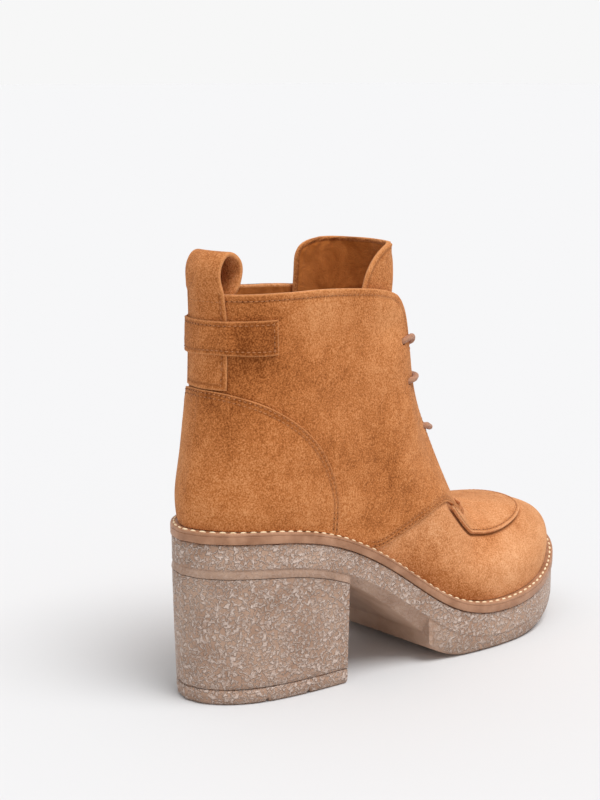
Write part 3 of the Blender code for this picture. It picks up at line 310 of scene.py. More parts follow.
def look_up(field, turn, rise):
    """Value of a surveyed field between its grid points."""
    turn, rise = np.broadcast_arrays(np.asarray(turn, float), np.asarray(rise, float))
    a = np.mod(turn, 1.0) * TURNS
    b = np.clip(rise, 0, 1) * RISES
    i = np.floor(a).astype(int)
    j = np.minimum(np.floor(b).astype(int), RISES - 1)
    fa, fb = (a - i)[..., None], (b - j)[..., None]
    i, n = i % TURNS, (i + 1) % TURNS
    low = field[i, j] * (1 - fa) + field[n, j] * fa
    high = field[i, j + 1] * (1 - fa) + field[n, j + 1] * fa
    return low * (1 - fb) + high * fb


def rib_length(turn):
    """Length of the rib at a share round."""
    lengths = np.append(RIB_LENGTH, RIB_LENGTH[0])
    return np.interp(np.mod(turn, 1.0) * TURNS, np.arange(TURNS + 1), lengths)


def turn_for(width, turn, rise):
    """Share round that spans a width on the skin near a place."""
    across = look_up(SKIN, turn + 1e-3, rise) - look_up(SKIN, turn - 1e-3, rise)
    return width / (np.linalg.norm(across, axis=-1) / 2e-3)


print("skin surveyed:", SKIN.shape, "longest rib", round(RIB_LENGTH.max() * 1000), "mm")

# %% [markdown]
# ## Soft creases
#
# Suede that has been lasted and laced isn't smooth: it pulls towards the lace holes, sinks in
# at the waist above the welt and swells over the toe. Each crease is a short line on the skin
# with a width and a depth in millimetres, and it moves all the layers together, so the pieces
# never cut through each other. A random noise would look the same everywhere, and real leather
# doesn't.

# %% Creases
# Start and end as shares round and up, then width and depth in mm; troughs are negative
CREASES = (
    ((0.218, 0.93), (0.170, 0.80), 6.0, -0.9),
    ((0.214, 0.99), (0.178, 0.90), 5.0, 0.6),
    ((0.228, 0.95), (0.185, 0.66), 7.0, 0.7),
    ((0.238, 0.92), (0.198, 0.62), 5.5, -1.0),
    ((0.252, 0.90), (0.212, 0.52), 7.0, 0.8),
    ((0.262, 0.88), (0.226, 0.50), 6.0, -0.9),
    ((0.215, 0.34), (0.185, 0.56), 9.0, 0.9),
    ((0.196, 0.28), (0.160, 0.50), 8.0, -0.8),
    ((0.232, 0.16), (0.262, 0.36), 9.0, -0.9),
    ((0.300, 0.30), (0.345, 0.42), 10.0, 0.7),
    ((0.100, 0.72), (0.150, 0.82), 10.0, -0.6),
    ((0.060, 0.36), (0.105, 0.28), 9.0, 0.5),
    ((0.030, 0.20), (0.070, 0.14), 8.0, -0.4),
    ((0.782, 0.93), (0.830, 0.80), 6.0, -0.8),
    ((0.762, 0.92), (0.802, 0.62), 5.5, -0.9),
    ((0.748, 0.90), (0.788, 0.52), 7.0, 0.7),
    ((0.738, 0.88), (0.774, 0.50), 6.0, -0.8),
    ((0.785, 0.34), (0.815, 0.56), 9.0, 0.8),
    ((0.768, 0.16), (0.738, 0.36), 9.0, -0.8),
    ((0.700, 0.30), (0.655, 0.42), 10.0, 0.6),
)
# Size of the skin in mm, which turns shares into distances
SPAN = 480.0
RISE_SPAN = 105.0
SLOW_DEPTH = 0.25  # mm of the slow waves under the creases
FOOT_FADE, TOP_END, TOP_FADE = 0.14, 1.06, 0.12


def creases(turn, rise):
    """Height of the creases over the skin, in metres."""
    turn = np.mod(turn, 1.0)
    x, y = turn * SPAN, rise * RISE_SPAN
    total = np.zeros(np.shape(x))
    for (u0, v0), (u1, v1), width, depth in CREASES:
        a = np.array([u0 * SPAN, v0 * RISE_SPAN])
        run = np.array([u1 * SPAN, v1 * RISE_SPAN]) - a
        length = np.linalg.norm(run)
        run /= length
        along = (x - a[0]) * run[0] + (y - a[1]) * run[1]
        off = (x - a[0]) * run[1] - (y - a[1]) * run[0]
        begun = ease(along / (length * 0.35) + 0.4)
        ended = ease((length - along) / (length * 0.6) + 0.3)
        total += depth * bell(off, width) * (begun * ended)
    slow = np.sin(turn * 37.0 + rise * 9.0) * np.sin(rise * 11.0 - turn * 23.0)
    total += SLOW_DEPTH * slow
    return total * MM * ease(rise / FOOT_FADE) * ease((TOP_END - rise) / TOP_FADE)


def leather(turn, rise, lift):
    """Skin moved outward by lift, with the creases, its foot level with the welt."""
    turn, rise = np.broadcast_arrays(np.asarray(turn, float), np.asarray(rise, float))
    raised = np.asarray(lift, float) + creases(turn, rise)
    points = look_up(SKIN, turn, rise) + look_up(NORMAL, turn, rise) * raised[..., None]
    foot = rise <= 0
    points[foot, 2] = seat(points[foot, 0]) + GAP
    return points


# Brushed nap and painted light and shade: share round, share up, reach in mm, tone
# Painted shade under the heel band, behind the strip and above the welt at the waist; painted light
# by the facing
NAP_AND_SHADE_PATCHES = (
    (0.010, 0.56, 14.0, -0.20), (0.070, 0.80, 14.0, -0.22), (0.075, 0.68, 18.0, -0.16),
    (0.060, 0.20, 20.0, 0.06), (0.105, 0.62, 14.0, 0.06), (0.135, 0.86, 12.0, 0.16),
    (0.150, 0.55, 15.0, -0.10), (0.175, 0.70, 12.0, 0.14), (0.190, 0.90, 9.0, 0.16),
    (0.185, 0.30, 16.0, -0.12), (0.225, 0.78, 9.0, -0.10), (0.240, 0.50, 14.0, 0.08),
    (0.245, 0.06, 15.0, -0.42), (0.290, 0.04, 12.0, -0.34), (0.360, 0.30, 18.0, 0.14),
    (0.430, 0.22, 18.0, 0.16), (0.330, 0.55, 10.0, -0.16), (0.500, 0.85, 18.0, -0.10),
    (0.700, 0.30, 20.0, 0.10), (0.800, 0.60, 20.0, 0.08), (0.900, 0.40, 20.0, -0.12),
    (0.965, 0.80, 18.0, -0.20),
)


def patches(turn, rise):
    """Tone of the brushed nap and painted light and shade at a place on the skin."""
    total = np.zeros(np.shape(turn))
    for u, v, reach, tone in NAP_AND_SHADE_PATCHES:
        away = (np.mod(turn - u + 0.5, 1.0) - 0.5) * SPAN
        total += tone * np.exp(-(away ** 2 + ((rise - v) * RISE_SPAN) ** 2) / reach ** 2)
    return total


trial = creases(*np.meshgrid(np.linspace(0, 1, 90), np.linspace(0, 1, 30))) / MM
print("creases from", round(trial.min(), 2), "to", round(trial.max(), 2), "mm")

# %% [markdown]
# ## Finishes
#
# Shader maths reads best as plain Python. A small class wraps a socket and gives it the
# operators used here, so `1 - mask` adds a Math node by itself, and one method makes every
# other node.


# %% Shader helpers
class Wire:
    """A shader socket that does sums: each operator adds a Math node."""

    def __init__(self, paint, socket):
        self.paint = paint
        self.socket = socket

    def sum(self, operation, first, second):
        return self.paint.node("ShaderNodeMath", {"operation": operation}, {0: first, 1: second})

    def __add__(self, other):
        return self.sum("ADD", self, other)

    def __rsub__(self, other):
        return self.sum("SUBTRACT", other, self)

    def __mul__(self, other):
        return self.sum("MULTIPLY", self, other)

    def least(self, other):
        return self.sum("MINIMUM", self, other)


def set_stops(ramp, stops):
    """Gives a colour ramp its stops, each a position and a linear colour."""
    for spare in list(ramp.elements)[1:]:
        ramp.elements.remove(spare)
    for k, (position, shade) in enumerate(stops):
        stop = ramp.elements[0] if k == 0 else ramp.elements.new(position)
        stop.position = position
        stop.color = (*shade, 1.0)


class Paint:
    """One material with its Principled shader."""

    def __init__(self, name, **constants):
        self.material = bpy.data.materials.new(name)
        self.material.use_nodes = True
        self.tree = self.material.node_tree
        self.shader = self.tree.nodes["Principled BSDF"]
        for key, value in constants.items():
            self.shader.inputs[key.replace("_", " ")].default_value = value
        self.place = self.node("ShaderNodeTexCoord", {}, {}, "Object")

    def node(self, kind, settings, sockets, out=0):
        """Adds a node: its settings first, then the values or links of its sockets."""
        made = self.tree.nodes.new(kind)
        for key, value in settings.items():
            if key == "stops":
                set_stops(made.color_ramp, value)
            else:
                setattr(made, key, value)
        for key, value in sockets.items():
            if isinstance(value, Wire):
                self.tree.links.new(value.socket, made.inputs[key])
            else:
                made.inputs[key].default_value = value
        return Wire(self, made.outputs[out])

    def noise(self, scale, detail=3.0, rough=0.5, bend=0.0):
        """Cloudy pattern; scale is in cells per metre."""
        sockets = {"Vector": self.place, "Scale": scale, "Detail": detail,
                   "Roughness": rough, "Distortion": bend}
        return self.node("ShaderNodeTexNoise", {}, sockets)

    def fit(self, value, low, high, new_low=0.0, new_high=1.0):
        """Value from one range to another, held at its ends."""
        return self.node("ShaderNodeMapRange", {"clamp": True},
                         {"Value": value, 1: low, 2: high, 3: new_low, 4: new_high})

    def mix(self, factor, first, second):
        """Colour between two colours."""
        return self.node("ShaderNodeMix", {"data_type": "RGBA"},
                         {0: factor, 6: first, 7: second}, 2)

    def attribute(self, name):
        """Number stored on the mesh under a name."""
        return self.node("ShaderNodeAttribute", {"attribute_name": name}, {}, "Fac")

    def feed(self, **links):
        """Links values to the shader's own sockets."""
        for key, value in links.items():
            self.tree.links.new(value.socket, self.shader.inputs[key.replace("_", " ")])

    def relief(self, height, distance, strength=1.0, base=None):
        """Bump from a height in 0 to 1 and its real depth in metres."""
        sockets = {"Height": height, "Distance": distance, "Strength": strength}
        if base:
            sockets["Normal"] = base
        return self.node("ShaderNodeBump", {}, sockets)


def tint(red, green, blue):
    """Linear colour from screen values of 0 to 255."""
    return tuple(
        v / 255 / 12.92 if v / 255 <= 0.04045 else ((v / 255 + 0.055) / 1.055) ** 2.4
        for v in (red, green, blue)
    )


def colour(red, green, blue):
    """The same with an alpha of 1."""
    return (*tint(red, green, blue), 1.0)


print("screen grey 128 is linear", round(tint(128, 128, 128)[0], 3))

# %% [markdown]
# ### Suede
#
# Suede is the brushed flesh side of the hide. It has no gloss: the raised fibres catch light at
# a glancing angle, and brushing them one way or the other leaves light and dark clouds. So the
# colour is made from clouds, brush marks and grain, and from listed patches of brushed nap and
# painted light and shade; the nap is fine noise as a bump, and the velvet edge is sheen.


# %% Suede
TONE_SHARE, SPECK_SHARE = 0.42, 0.58
SEAM_SHADE, SEAM_SHADE_MOST = 0.55, 0.85
NAP_DEPTH, BRUSH_DEPTH = 0.00045, 0.0012


def suede(name, light, mid, dark):
    """Brushed suede between a light and a dark tone."""
    paint = Paint(name, Roughness=0.95, Sheen_Weight=0.30, Sheen_Roughness=0.45,
                  Sheen_Tint=colour(255, 214, 170), Specular_IOR_Level=0.12)
    clouds = paint.noise(30.0, 3.0, 0.55, 0.4)
    brushed = paint.noise(140.0, 4.0, 0.65, 0.6)
    grain = paint.noise(1350.0, 3.0, 0.70)
    fibre = paint.noise(2600.0, 2.0, 0.6)
    tone = paint.fit(clouds * 0.5 + brushed * 0.5, 0.34, 0.66)
    speck = paint.fit(grain, 0.37, 0.63)
    # This tone from the skin adds the brushed nap and the painted light and shade
    shade = tone * TONE_SHARE + speck * SPECK_SHARE + paint.attribute("patch")
    base = paint.node("ShaderNodeValToRGB", {"stops": ((0.0, dark), (0.5, mid), (1.0, light))},
                      {"Fac": shade})
    edge, seam, inside = (paint.attribute(key) for key in ("edge", "seam", "inside"))
    worn = paint.fit(edge, 0.0, 0.9, 0.55, 0.0)
    base = paint.mix(worn, base, (*light, 1.0))
    # Painted shade darkens the pressed stitch rows and the groove along the apron's edge
    base = paint.mix((seam * SEAM_SHADE).least(SEAM_SHADE_MOST), base, (*dark, 1.0))
    lining_clouds = paint.fit(paint.noise(60.0, 3.0, 0.5, 1.2), 0.35, 0.65)
    lining = paint.mix(lining_clouds, colour(160, 88, 34), colour(204, 124, 62))
    base = paint.mix(inside, base, lining)
    paint.feed(Base_Color=base, Roughness=paint.fit(grain, 0.2, 0.8, 0.88, 1.0))
    nap = paint.relief(grain * 0.6 + fibre * 0.4, NAP_DEPTH, 0.75)
    paint.feed(Normal=paint.relief(brushed, BRUSH_DEPTH, 0.5, nap))
    return paint.material


SUEDE = suede("suede", tint(224, 156, 102), tint(188, 114, 60), tint(122, 62, 20))
# A paler copy of the same suede, painted light for the vamp and apron, which face up to the light
SUEDE_PAINTED_LIGHT = suede("suede_painted_light", tint(234, 174, 128), tint(208, 140, 90), tint(160, 92, 44))
print("suede is made of", len(SUEDE.node_tree.nodes), "nodes")


# %% Rubber, crepe and the small finishes
# Pale tone of the ridges, partly the rubber's own milky tone and partly painted highlight
RIDGE_TONE_AND_HIGHLIGHT = (230, 214, 204)
RIDGE_DEPTH, PORE_DEPTH = 0.0009, 0.0002


def crepe(name, light, mid, dark, pale_and_highlight):
    """Milky crepe rubber with short raised ripples, paler by a share on their ridges, partly as
    painted highlight.
    """
    paint = Paint(name, Roughness=0.5, Specular_IOR_Level=0.45)
    ripple = paint.noise(640.0, 0.8, 0.5, 0.9)
    ridge = paint.fit(ripple, 0.42, 0.66)
    broad = paint.noise(70.0, 3.0, 0.55)
    ridge = ridge * (1 - paint.attribute("plain"))
    tone = paint.node("ShaderNodeValToRGB", {"stops": ((0.25, dark), (0.5, mid), (0.75, light))},
                      {"Fac": broad})
    # The ridges turn pale, partly from the rubber's own tone and partly as painted highlight
    base = paint.mix(ridge * pale_and_highlight, tone, colour(*RIDGE_TONE_AND_HIGHLIGHT))
    paint.feed(Base_Color=base, Roughness=paint.fit(ridge, 0.0, 1.0, 0.48, 0.26))
    pores = paint.relief(paint.noise(900.0, 2.0, 0.6), PORE_DEPTH, 0.6)
    paint.feed(Normal=paint.relief(ridge, RIDGE_DEPTH, 1.0, pores))
    return paint.material


def plain(name, light, dark, scale, rough, depth, **constants):
    """Finish with one size of cloud and a fine grain."""
    paint = Paint(name, Roughness=rough, **constants)
    cloud = paint.fit(paint.noise(scale, 4.0, 0.6), 0.35, 0.65)
    grain = paint.noise(scale * 12, 3.0, 0.6)
    paint.feed(Base_Color=paint.mix(cloud, colour(*dark), colour(*light)),
               Roughness=paint.fit(grain, 0.3, 0.7, rough - 0.06, rough + 0.06),
               Normal=paint.relief(grain, depth, 0.6))
    return paint.material


CREPE = crepe("crepe_rubber", tint(188, 156, 134), tint(174, 140, 118), tint(156, 121, 98),
              0.55)
WELT = plain("welt_rubber", (184, 136, 104), (156, 108, 76), 120.0, 0.42, 0.0002)
INSOLE = plain("insole_leather", (198, 156, 116), (176, 132, 92), 90.0, 0.6, 0.0002)
LACE = plain("lace_cord", (196, 140, 104), (164, 108, 76), 900.0, 0.85, 0.0004, Sheen_Weight=0.3)
THREAD = plain("seam_thread", (196, 130, 78), (160, 98, 52), 600.0, 0.8, 0.0001)
# Painted shade for the needle holes between the threads
NEEDLE_HOLE_SHADE = plain("needle_hole_shade", (96, 52, 22), (72, 38, 16), 600.0, 0.9, 0.0001)
THREAD_PALE = plain("welt_thread", (250, 230, 196), (236, 208, 166), 600.0, 0.75, 0.0001)
TAPE = plain("zip_tape", (52, 58, 84), (34, 38, 60), 700.0, 0.85, 0.0003)
METAL = plain("zip_metal", (190, 168, 128), (150, 128, 92), 300.0, 0.32, 0.0001, Metallic=1.0)
print("finishes:", len(bpy.data.materials))


# %% [markdown]
# ## Meshes from grids
#
# Each piece of leather is a grid of points on the skin, a second grid underneath it, and a wall
# between them. The distance from the nearest cut edge is worked out once: it rounds the edge,
# presses the seam in, and is kept as an attribute for the finish to read.

# %% Mesh helpers
SHARP = math.radians(50)


def lattice(down, across):
    """Both coordinates of a grid, row by row."""
    return np.meshgrid(down, across, indexing="ij")


def put(name, data):
    """Object for a mesh, camera or lamp, linked into the scene."""
    item = bpy.data.objects.new(name, data)
    bpy.context.scene.collection.objects.link(item)
    return item


def turn_outward(mesh):
    """Makes every face of a closed mesh look outward."""
    work = bmesh.new()
    work.from_mesh(mesh)
    bmesh.ops.recalc_face_normals(work, faces=work.faces)
    work.to_mesh(mesh)
    work.free()


def worked_out(item):
    """Mesh of an object with its modifiers worked out."""
    bpy.context.view_layer.update()
    graph = bpy.context.evaluated_depsgraph_get()
    return bpy.data.meshes.new_from_object(item.evaluated_get(graph))


def add_piece(name, points, faces, material, cad, attributes=None):
    """Mesh object in the shared frame that stands for its CAD nodes."""
    mesh = bpy.data.meshes.new(name)
    mesh.from_pydata((np.asarray(points) - SHIFT).tolist(), [], faces)
    mesh.materials.append(material)
    for key, values in (attributes or {}).items():
        layer = mesh.attributes.new(key, "FLOAT", "POINT")
        layer.data.foreach_set("value", np.asarray(values, np.float32).ravel())
    turn_outward(mesh)
    mesh.shade_smooth()
    mesh.set_sharp_from_angle(angle=SHARP)
    item = put(name, mesh)
    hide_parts(*cad)
    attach(item, "boot")
    return item


def tube_faces(rings, count, closed=False):
    """Faces between rings of points; a closed tube joins the last ring to the first."""
    faces = []
    for number in range(rings if closed else rings - 1):
        low, high = number * count, (number + 1) % rings * count
        for k in range(count):
            after = (k + 1) % count
            faces.append((low + k, low + after, high + after, high + k))
    return faces


def slab_faces(rows, columns, ring=False):
    """Faces of a closed sheet whose points are the outer grid, then the inner one."""
    half = rows * columns
    last = columns if ring else columns - 1
    faces = []
    for row in range(rows - 1):
        for column in range(last):
            a = row * columns + column
            b = row * columns + (column + 1) % columns
            faces.append((a, b, b + columns, a + columns))
            faces.append((a + columns + half, b + columns + half, b + half, a + half))
    for column in range(last):
        a, b = column, (column + 1) % columns
        faces.append((b, a, a + half, b + half))
        c, d = (rows - 1) * columns + a, (rows - 1) * columns + b
        faces.append((c, d, d + half, c + half))
    if not ring:
        for row in range(rows - 1):
            a = row * columns
            faces.append((a, a + columns, a + columns + half, a + half))
            b = a + columns - 1
            faces.append((b + columns, b, b + half, b + columns + half))
    return faces


def sheet(name, outer, inner, material, cad, slot, ring=False, **paint):
    """Closed sheet between two grids; each attribute is given outside and inside."""
    shape = outer.shape[:2]
    points = np.concatenate([outer.reshape(-1, 3), inner.reshape(-1, 3)])
    attributes = {
        key: np.concatenate([np.broadcast_to(side, shape).ravel() for side in sides])
        for key, sides in paint.items()
    }
    return add_piece(name, points, slab_faces(*shape, ring), material, cad, attributes)


def rounded(edge, radius, least=0.0):
    """Share of the full thickness at a distance from a cut edge with a round corner."""
    return np.sqrt(np.clip(1 - (1 - np.clip(edge / radius, 0, 1)) ** 2, least, 1))


def nearest(points, marks):
    """Distance in mm from each point to the nearest of the marks."""
    flat = points.reshape(-1, 3)
    found = np.empty(len(flat))
    for first in range(0, len(flat), 2000):
        part = flat[first:first + 2000]
        squares = ((part ** 2).sum(1)[:, None] + (marks ** 2).sum(1)[None] - 2 * part @ marks.T)
        found[first:first + 2000] = np.sqrt(np.clip(squares.min(axis=1), 0, None))
    return found.reshape(points.shape[:-1]) * 1000


def border(turn, rise, sides):
    """Chosen sides of a grid as paths on the skin, each with its inward side marked."""
    lines = {"low": (turn[0], rise[0], 1), "high": (turn[-1], rise[-1], -1),
             "first": (turn[:, 0], rise[:, 0], -1), "last": (turn[:, -1], rise[:, -1], 1)}
    return [lines[side] for side in sides]


def beside(turn, rise, distance):
    """Path moved sideways over the skin, to the left of its run seen from outside."""
    turn, rise = np.asarray(turn, float), np.asarray(rise, float)
    inner = np.clip(rise, 0.004, 0.996)
    by_turn = (look_up(SKIN, turn + 1e-3, inner) - look_up(SKIN, turn - 1e-3, inner)) / 2e-3
    by_rise = (look_up(SKIN, turn, inner + 4e-3) - look_up(SKIN, turn, inner - 4e-3)) / 8e-3
    run = by_turn * np.gradient(turn)[:, None] + by_rise * np.gradient(rise)[:, None]
    side = unit(np.cross(look_up(NORMAL, turn, inner), run))
    a, b, c = (by_turn ** 2).sum(1), (by_turn * by_rise).sum(1), (by_rise ** 2).sum(1)
    p, q = (by_turn * side).sum(1), (by_rise * side).sum(1)
    scale = distance / (a * c - b * b)
    return turn + (c * p - b * q) * scale, rise + (a * q - b * p) * scale


def refined(turn, rise, step=0.0006):
    """Path with even steps on the skin."""
    travel = travelled(look_up(SKIN, turn, rise))
    places = np.linspace(0, travel[-1], max(int(travel[-1] / step), 8))
    return np.interp(places, travel, turn), np.interp(places, travel, rise)


def graded(count, total):
    """Shares from 0 to 1 of a total in mm, with extra places close to both ends."""
    ends = np.array([0.0, 0.12, 0.3, 0.55, 0.9, 1.5, 2.2, 2.9]) / total
    middle = np.linspace(ends[-1], 1 - ends[-1], count)
    return np.concatenate([ends[:-1], middle, 1 - ends[:-1][::-1]])


SEAM_LINES = []
CLEAR_SHARE = 0.93  # share of a seam's distance that it keeps from every cut edge
SEAM_LOW, SEAM_HIGH = 0.012, 1.0
SHORTEST_SEAM = 12
# In mm: radius of a cut edge, width of the press beside a thread, and the swell behind it
EDGE_RADIUS, PRESS_WIDTH = 0.55, 0.6
SWELL, SWELL_PLACE, SWELL_WIDTH = 0.10, 5.5, 2.4
PRESS_DEPTH = 0.00022
CUT_SHARE = 0.25
NO_EDGE = 5.0


def seam_rows(turn, rise, edges, seams, lift):
    """Rows of stitches beside the cut edges, clear of other edges and level with the piece."""
    flat = look_up(SKIN, turn, rise).reshape(-1, 3)
    marks = np.concatenate([look_up(SKIN, *refined(u, v)) for u, v, _ in edges])
    rows = []
    for index, distance, start, end in seams:
        u, v, inward = edges[index]
        u, v = refined(u, v)
        u, v = beside(u, v, inward * distance * MM)
        keep = nearest(look_up(SKIN, u, v), marks) > distance * CLEAR_SHARE
        share = np.linspace(0, 1, len(u))
        keep &= (share >= start) & (share <= end) & (v > SEAM_LOW) & (v < SEAM_HIGH)
        for part in np.split(np.arange(len(u)), np.flatnonzero(np.diff(keep.astype(int))) + 1):
            if keep[part[0]] and len(part) > SHORTEST_SEAM:
                rows.append((u[part], v[part]))
                spots = look_up(SKIN, u[part], v[part])
                near = [int(np.argmin(((flat - spot) ** 2).sum(1))) for spot in spots]
                SEAM_LINES.append((u[part], v[part], np.ravel(lift)[near]))
    return marks, rows


def leather_piece(name, turn, rise, low, thick, sides, seams, material, cad, slot):
    """Piece of leather on the skin with rounded cut edges and pressed seams.

    Each seam is the number of a cut edge, a distance in mm, and its start and end as shares.
    """
    flat = look_up(SKIN, turn, rise)
    edges = border(turn, rise, sides)
    low = np.broadcast_to(low, turn.shape)
    marks, rows = seam_rows(turn, rise, edges, seams, low + thick)
    edge = nearest(flat, marks)
    press, swell = np.zeros(turn.shape), 0.0
    if rows:
        threads = np.concatenate([look_up(SKIN, *row) for row in rows])
        press = bell(nearest(flat, threads), PRESS_WIDTH)
        swell = SWELL * bell(edge, SWELL_WIDTH, SWELL_PLACE)
    full = CUT_SHARE + (1 - CUT_SHARE) * rounded(edge, EDGE_RADIUS)
    top = low + thick * full - PRESS_DEPTH * press + swell * MM
    # Tone of the brushed nap and the painted light and shade
    tone = patches(turn, rise)
    return sheet(name, leather(turn, rise, top), leather(turn, rise, low), material, cad, slot,
                 edge=(edge, NO_EDGE), seam=(press, 0), inside=(0, 0), patch=(tone, tone))


print("a sheet of 3 by 3 points has", len(slab_faces(3, 3)), "faces")

# %% [markdown]
# ## The upper
#
# Vamp, ankle and lining are one wall, 1.6 mm thick. Outside it is suede, inside smooth lining,
# and its top edge is rolled over a thin tape, so the edge is round and not cut square. The
# wall itself is made after the apron, because the apron's edge presses a groove into it.

# %% Upper
SEAM_ROUND = 0.181
SEAM_SWEEP = 0.125
SEAM_POWER = 0.68
# In mm: radius of the rolled edge, start of the lining below it, width of the apron's groove
ROLL_RADIUS, LINING_START, GROOVE_WIDTH = 0.8, 0.9, 1.3
GROOVE_DEPTH = 0.0005
# Painted shadow in the groove along the apron's edge
GROOVE_SHADE = 1.4


def seam_round(rise):
    """Share round of the front edge of the lateral quarter."""
    return SEAM_ROUND + SEAM_SWEEP * np.asarray(rise, float) ** SEAM_POWER


def make_upper(groove, columns=480, rows=96):
    """Hollow wall with a rolled top edge, pressed in along the apron's edge."""
    rises = np.concatenate([np.linspace(0, 0.985, rows), [0.993, 1.0]])
    rise, turn = lattice(rises, np.arange(columns) / columns)
    edge = (1 - rise) * rib_length(turn) * 1000
    roll = rounded(edge, ROLL_RADIUS)
    sunk = bell(nearest(look_up(SKIN, turn, rise), groove), GROOVE_WIDTH)
    outer = leather(turn, rise, -WALL / 2 + WALL / 2 * roll - GROOVE_DEPTH * sunk)
    inner = leather(turn, rise, -WALL / 2 - WALL / 2 * roll)
    # Tone of the brushed nap and the painted light and shade
    tone = patches(turn, rise)
    # The upper takes the suede copy with painted light, as the vamp faces up to the light
    return sheet("upper_suede", outer, inner, SUEDE_PAINTED_LIGHT, ("upper",), "suede", ring=True,
                 edge=(edge, NO_EDGE), seam=(GROOVE_SHADE * sunk, 0),
                 inside=(0, edge > LINING_START), patch=(tone, tone))


print("lateral quarter's front edge at the top line:", round(float(seam_round(1.0)), 3), "round")

# %% [markdown]
# ## Quarters, counter, strip, band and apron
#
# These are the layers over the upper. Each is cut from its own outline in shares round and up
# the skin, exactly as a pattern cutter draws it on the last.

# %% Quarters
ZIP_ROUND = 0.856
ZIP_LOW = 0.19
ZIP_OPEN = 0.25
ZIP_GAP = 0.0080


def zip_edge(side):
    """Edge of the medial quarter beside the zip, closing to a seam below it."""
    def edge(rise):
        opened = ease((rise - ZIP_LOW) / (ZIP_OPEN - ZIP_LOW))
        half = (GAP + (ZIP_GAP - GAP) * opened) / 2
        return ZIP_ROUND + side * turn_for(half, np.full(np.shape(rise), ZIP_ROUND), rise)
    return edge


def back_edge(side):
    """Edge of a quarter at the back of the heel."""
    def edge(rise):
        half = turn_for(GAP / 2, np.zeros(np.shape(rise)), rise)
        return half if side < 0 else 1 - half
    return edge


def front_edge(side):
    """Edge of a quarter along its seam with the vamp."""
    def edge(rise):
        return seam_round(rise) if side < 0 else 1 - seam_round(rise)
    return edge


def sector(start, end, columns, rows, width):
    """Grid of places on the skin between two edges that depend on the rise."""
    rises = graded(rows, RISE_SPAN)
    rises[0] = 0.0
    rise, share = lattice(rises, graded(columns, width))
    first = start(rise)
    return first + (end(rise) - first) * share, rise


QUARTERS = (
    ("quarter_lateral", back_edge(-1), front_edge(-1), 150, 120.0, ("high", "last"),
     ((0, 2.9, 0.0, 0.60), (0, 1.6, 0.60, 1.0), (1, 1.1, 0.0, 1.0), (1, 3.0, 0.0, 1.0))),
    ("quarter_medial_front", front_edge(1), zip_edge(-1), 90, 70.0, ("high", "first", "last"),
     ((0, 1.6, 0.0, 0.62), (0, 2.9, 0.62, 1.0), (1, 1.1, 0.0, 1.0), (1, 3.0, 0.0, 1.0),
      (2, 1.8, 0.2, 1.0))),
    ("quarter_medial_back", zip_edge(1), back_edge(1), 64, 55.0, ("high", "first"),
     ((0, 2.9, 0.0, 1.0), (1, 1.8, 0.2, 1.0))),
)
for name, start, end, columns, width, sides, seams in QUARTERS:
    turn, rise = sector(start, end, columns, 90, width)
    leather_piece(name + "_suede", turn, rise, GAP, LAYER, sides, seams, SUEDE, (name,), "suede")
print("quarters ready with", len(SEAM_LINES), "rows of stitches")

# %% Counter, back strip and heel band
COUNTER_ROUND = 0.147
COUNTER_RISE = 0.592
COUNTER_POWER, COUNTER_FULLNESS = 2.5, 0.43
COUNTER_END = 0.985
COUNTER_SWEEP = math.pi / 2 * 0.93  # places lie closer together towards the counter's ends
STRIP_WIDTH = 0.0240
BAND_DROP = 0.0115
BAND_WIDTH = 0.0155
BAND_REACH = 0.0350


def counter_rise(share):
    """Top edge of the heel counter; share runs from -1 to 1 round the heel."""
    return COUNTER_RISE * (1 - np.abs(share) ** COUNTER_POWER) ** COUNTER_FULLNESS


share = np.sin(np.linspace(-1, 1, 151) * COUNTER_SWEEP) / math.sin(COUNTER_SWEEP) * COUNTER_END
level, share = lattice(1 - graded(44, 65.0)[::-1], share)
turn, rise = share * COUNTER_ROUND, level * counter_rise(share)
leather_piece("counter_suede", turn, rise, 2.5 * GAP + LAYER, LAYER, ("high", "first", "last"),
              tuple((k, away, 0.0, 1.0) for k in range(3) for away in (1.2, 3.1)),
              SUEDE, ("counter",), "suede")

fine = np.linspace(0, 0.12, 241)
mean_rise = 1 - (BAND_DROP + BAND_WIDTH / 2) / rib_length(0.0)
travel = travelled(look_up(SKIN, fine, mean_rise))
level, share = lattice(graded(12, 15.5), 2 * graded(84, 80.0) - 1)
distance = share * BAND_REACH
turn = np.sign(distance) * np.interp(np.abs(distance), travel, fine)
rise = 1 - (BAND_DROP + BAND_WIDTH * (1 - level)) / rib_length(turn)
over = 1 - ease((np.abs(distance) - STRIP_WIDTH / 2 - 0.0012) / 0.0040)
low = 2 * GAP + LAYER + (LAYER + 1.5 * GAP) * over
wave = 0.0004 * np.sin(distance * 170) * (1 - level)
rise = rise + wave / rib_length(turn)
leather_piece("heel_band_suede", turn, rise, low, LAYER, ("low", "high", "first", "last"),
              tuple((k, 2.0, 0.0, 1.0) for k in range(4)), SUEDE, ("heel_band",), "suede")
print("counter", round(COUNTER_RISE * float(rib_length(0.0)) * 1000, 1), "mm high at the back")

# %% Apron
APRON = (
    (0.000, 0.600), (0.030, 0.622), (0.065, 0.636), (0.120, 0.604), (0.180, 0.575),
    (0.240, 0.555), (0.300, 0.534), (0.360, 0.517), (0.420, 0.508), (0.500, 0.505),
    (0.580, 0.508), (0.640, 0.517), (0.700, 0.534), (0.760, 0.555), (0.820, 0.575),
    (0.880, 0.604), (0.935, 0.636), (0.970, 0.622), (1.000, 0.600),
)
APRON_CLEAR = 0.006

share = APRON_CLEAR + (1 - 2 * APRON_CLEAR) * graded(120, 150.0)
front = through(spline, APRON, share)[:, 0]
level, share = lattice(graded(36, 40.0), share)
rise = front[None, :] + (1 - front[None, :]) * level
start = seam_round(rise)
turn = start + (1 - 2 * start) * share
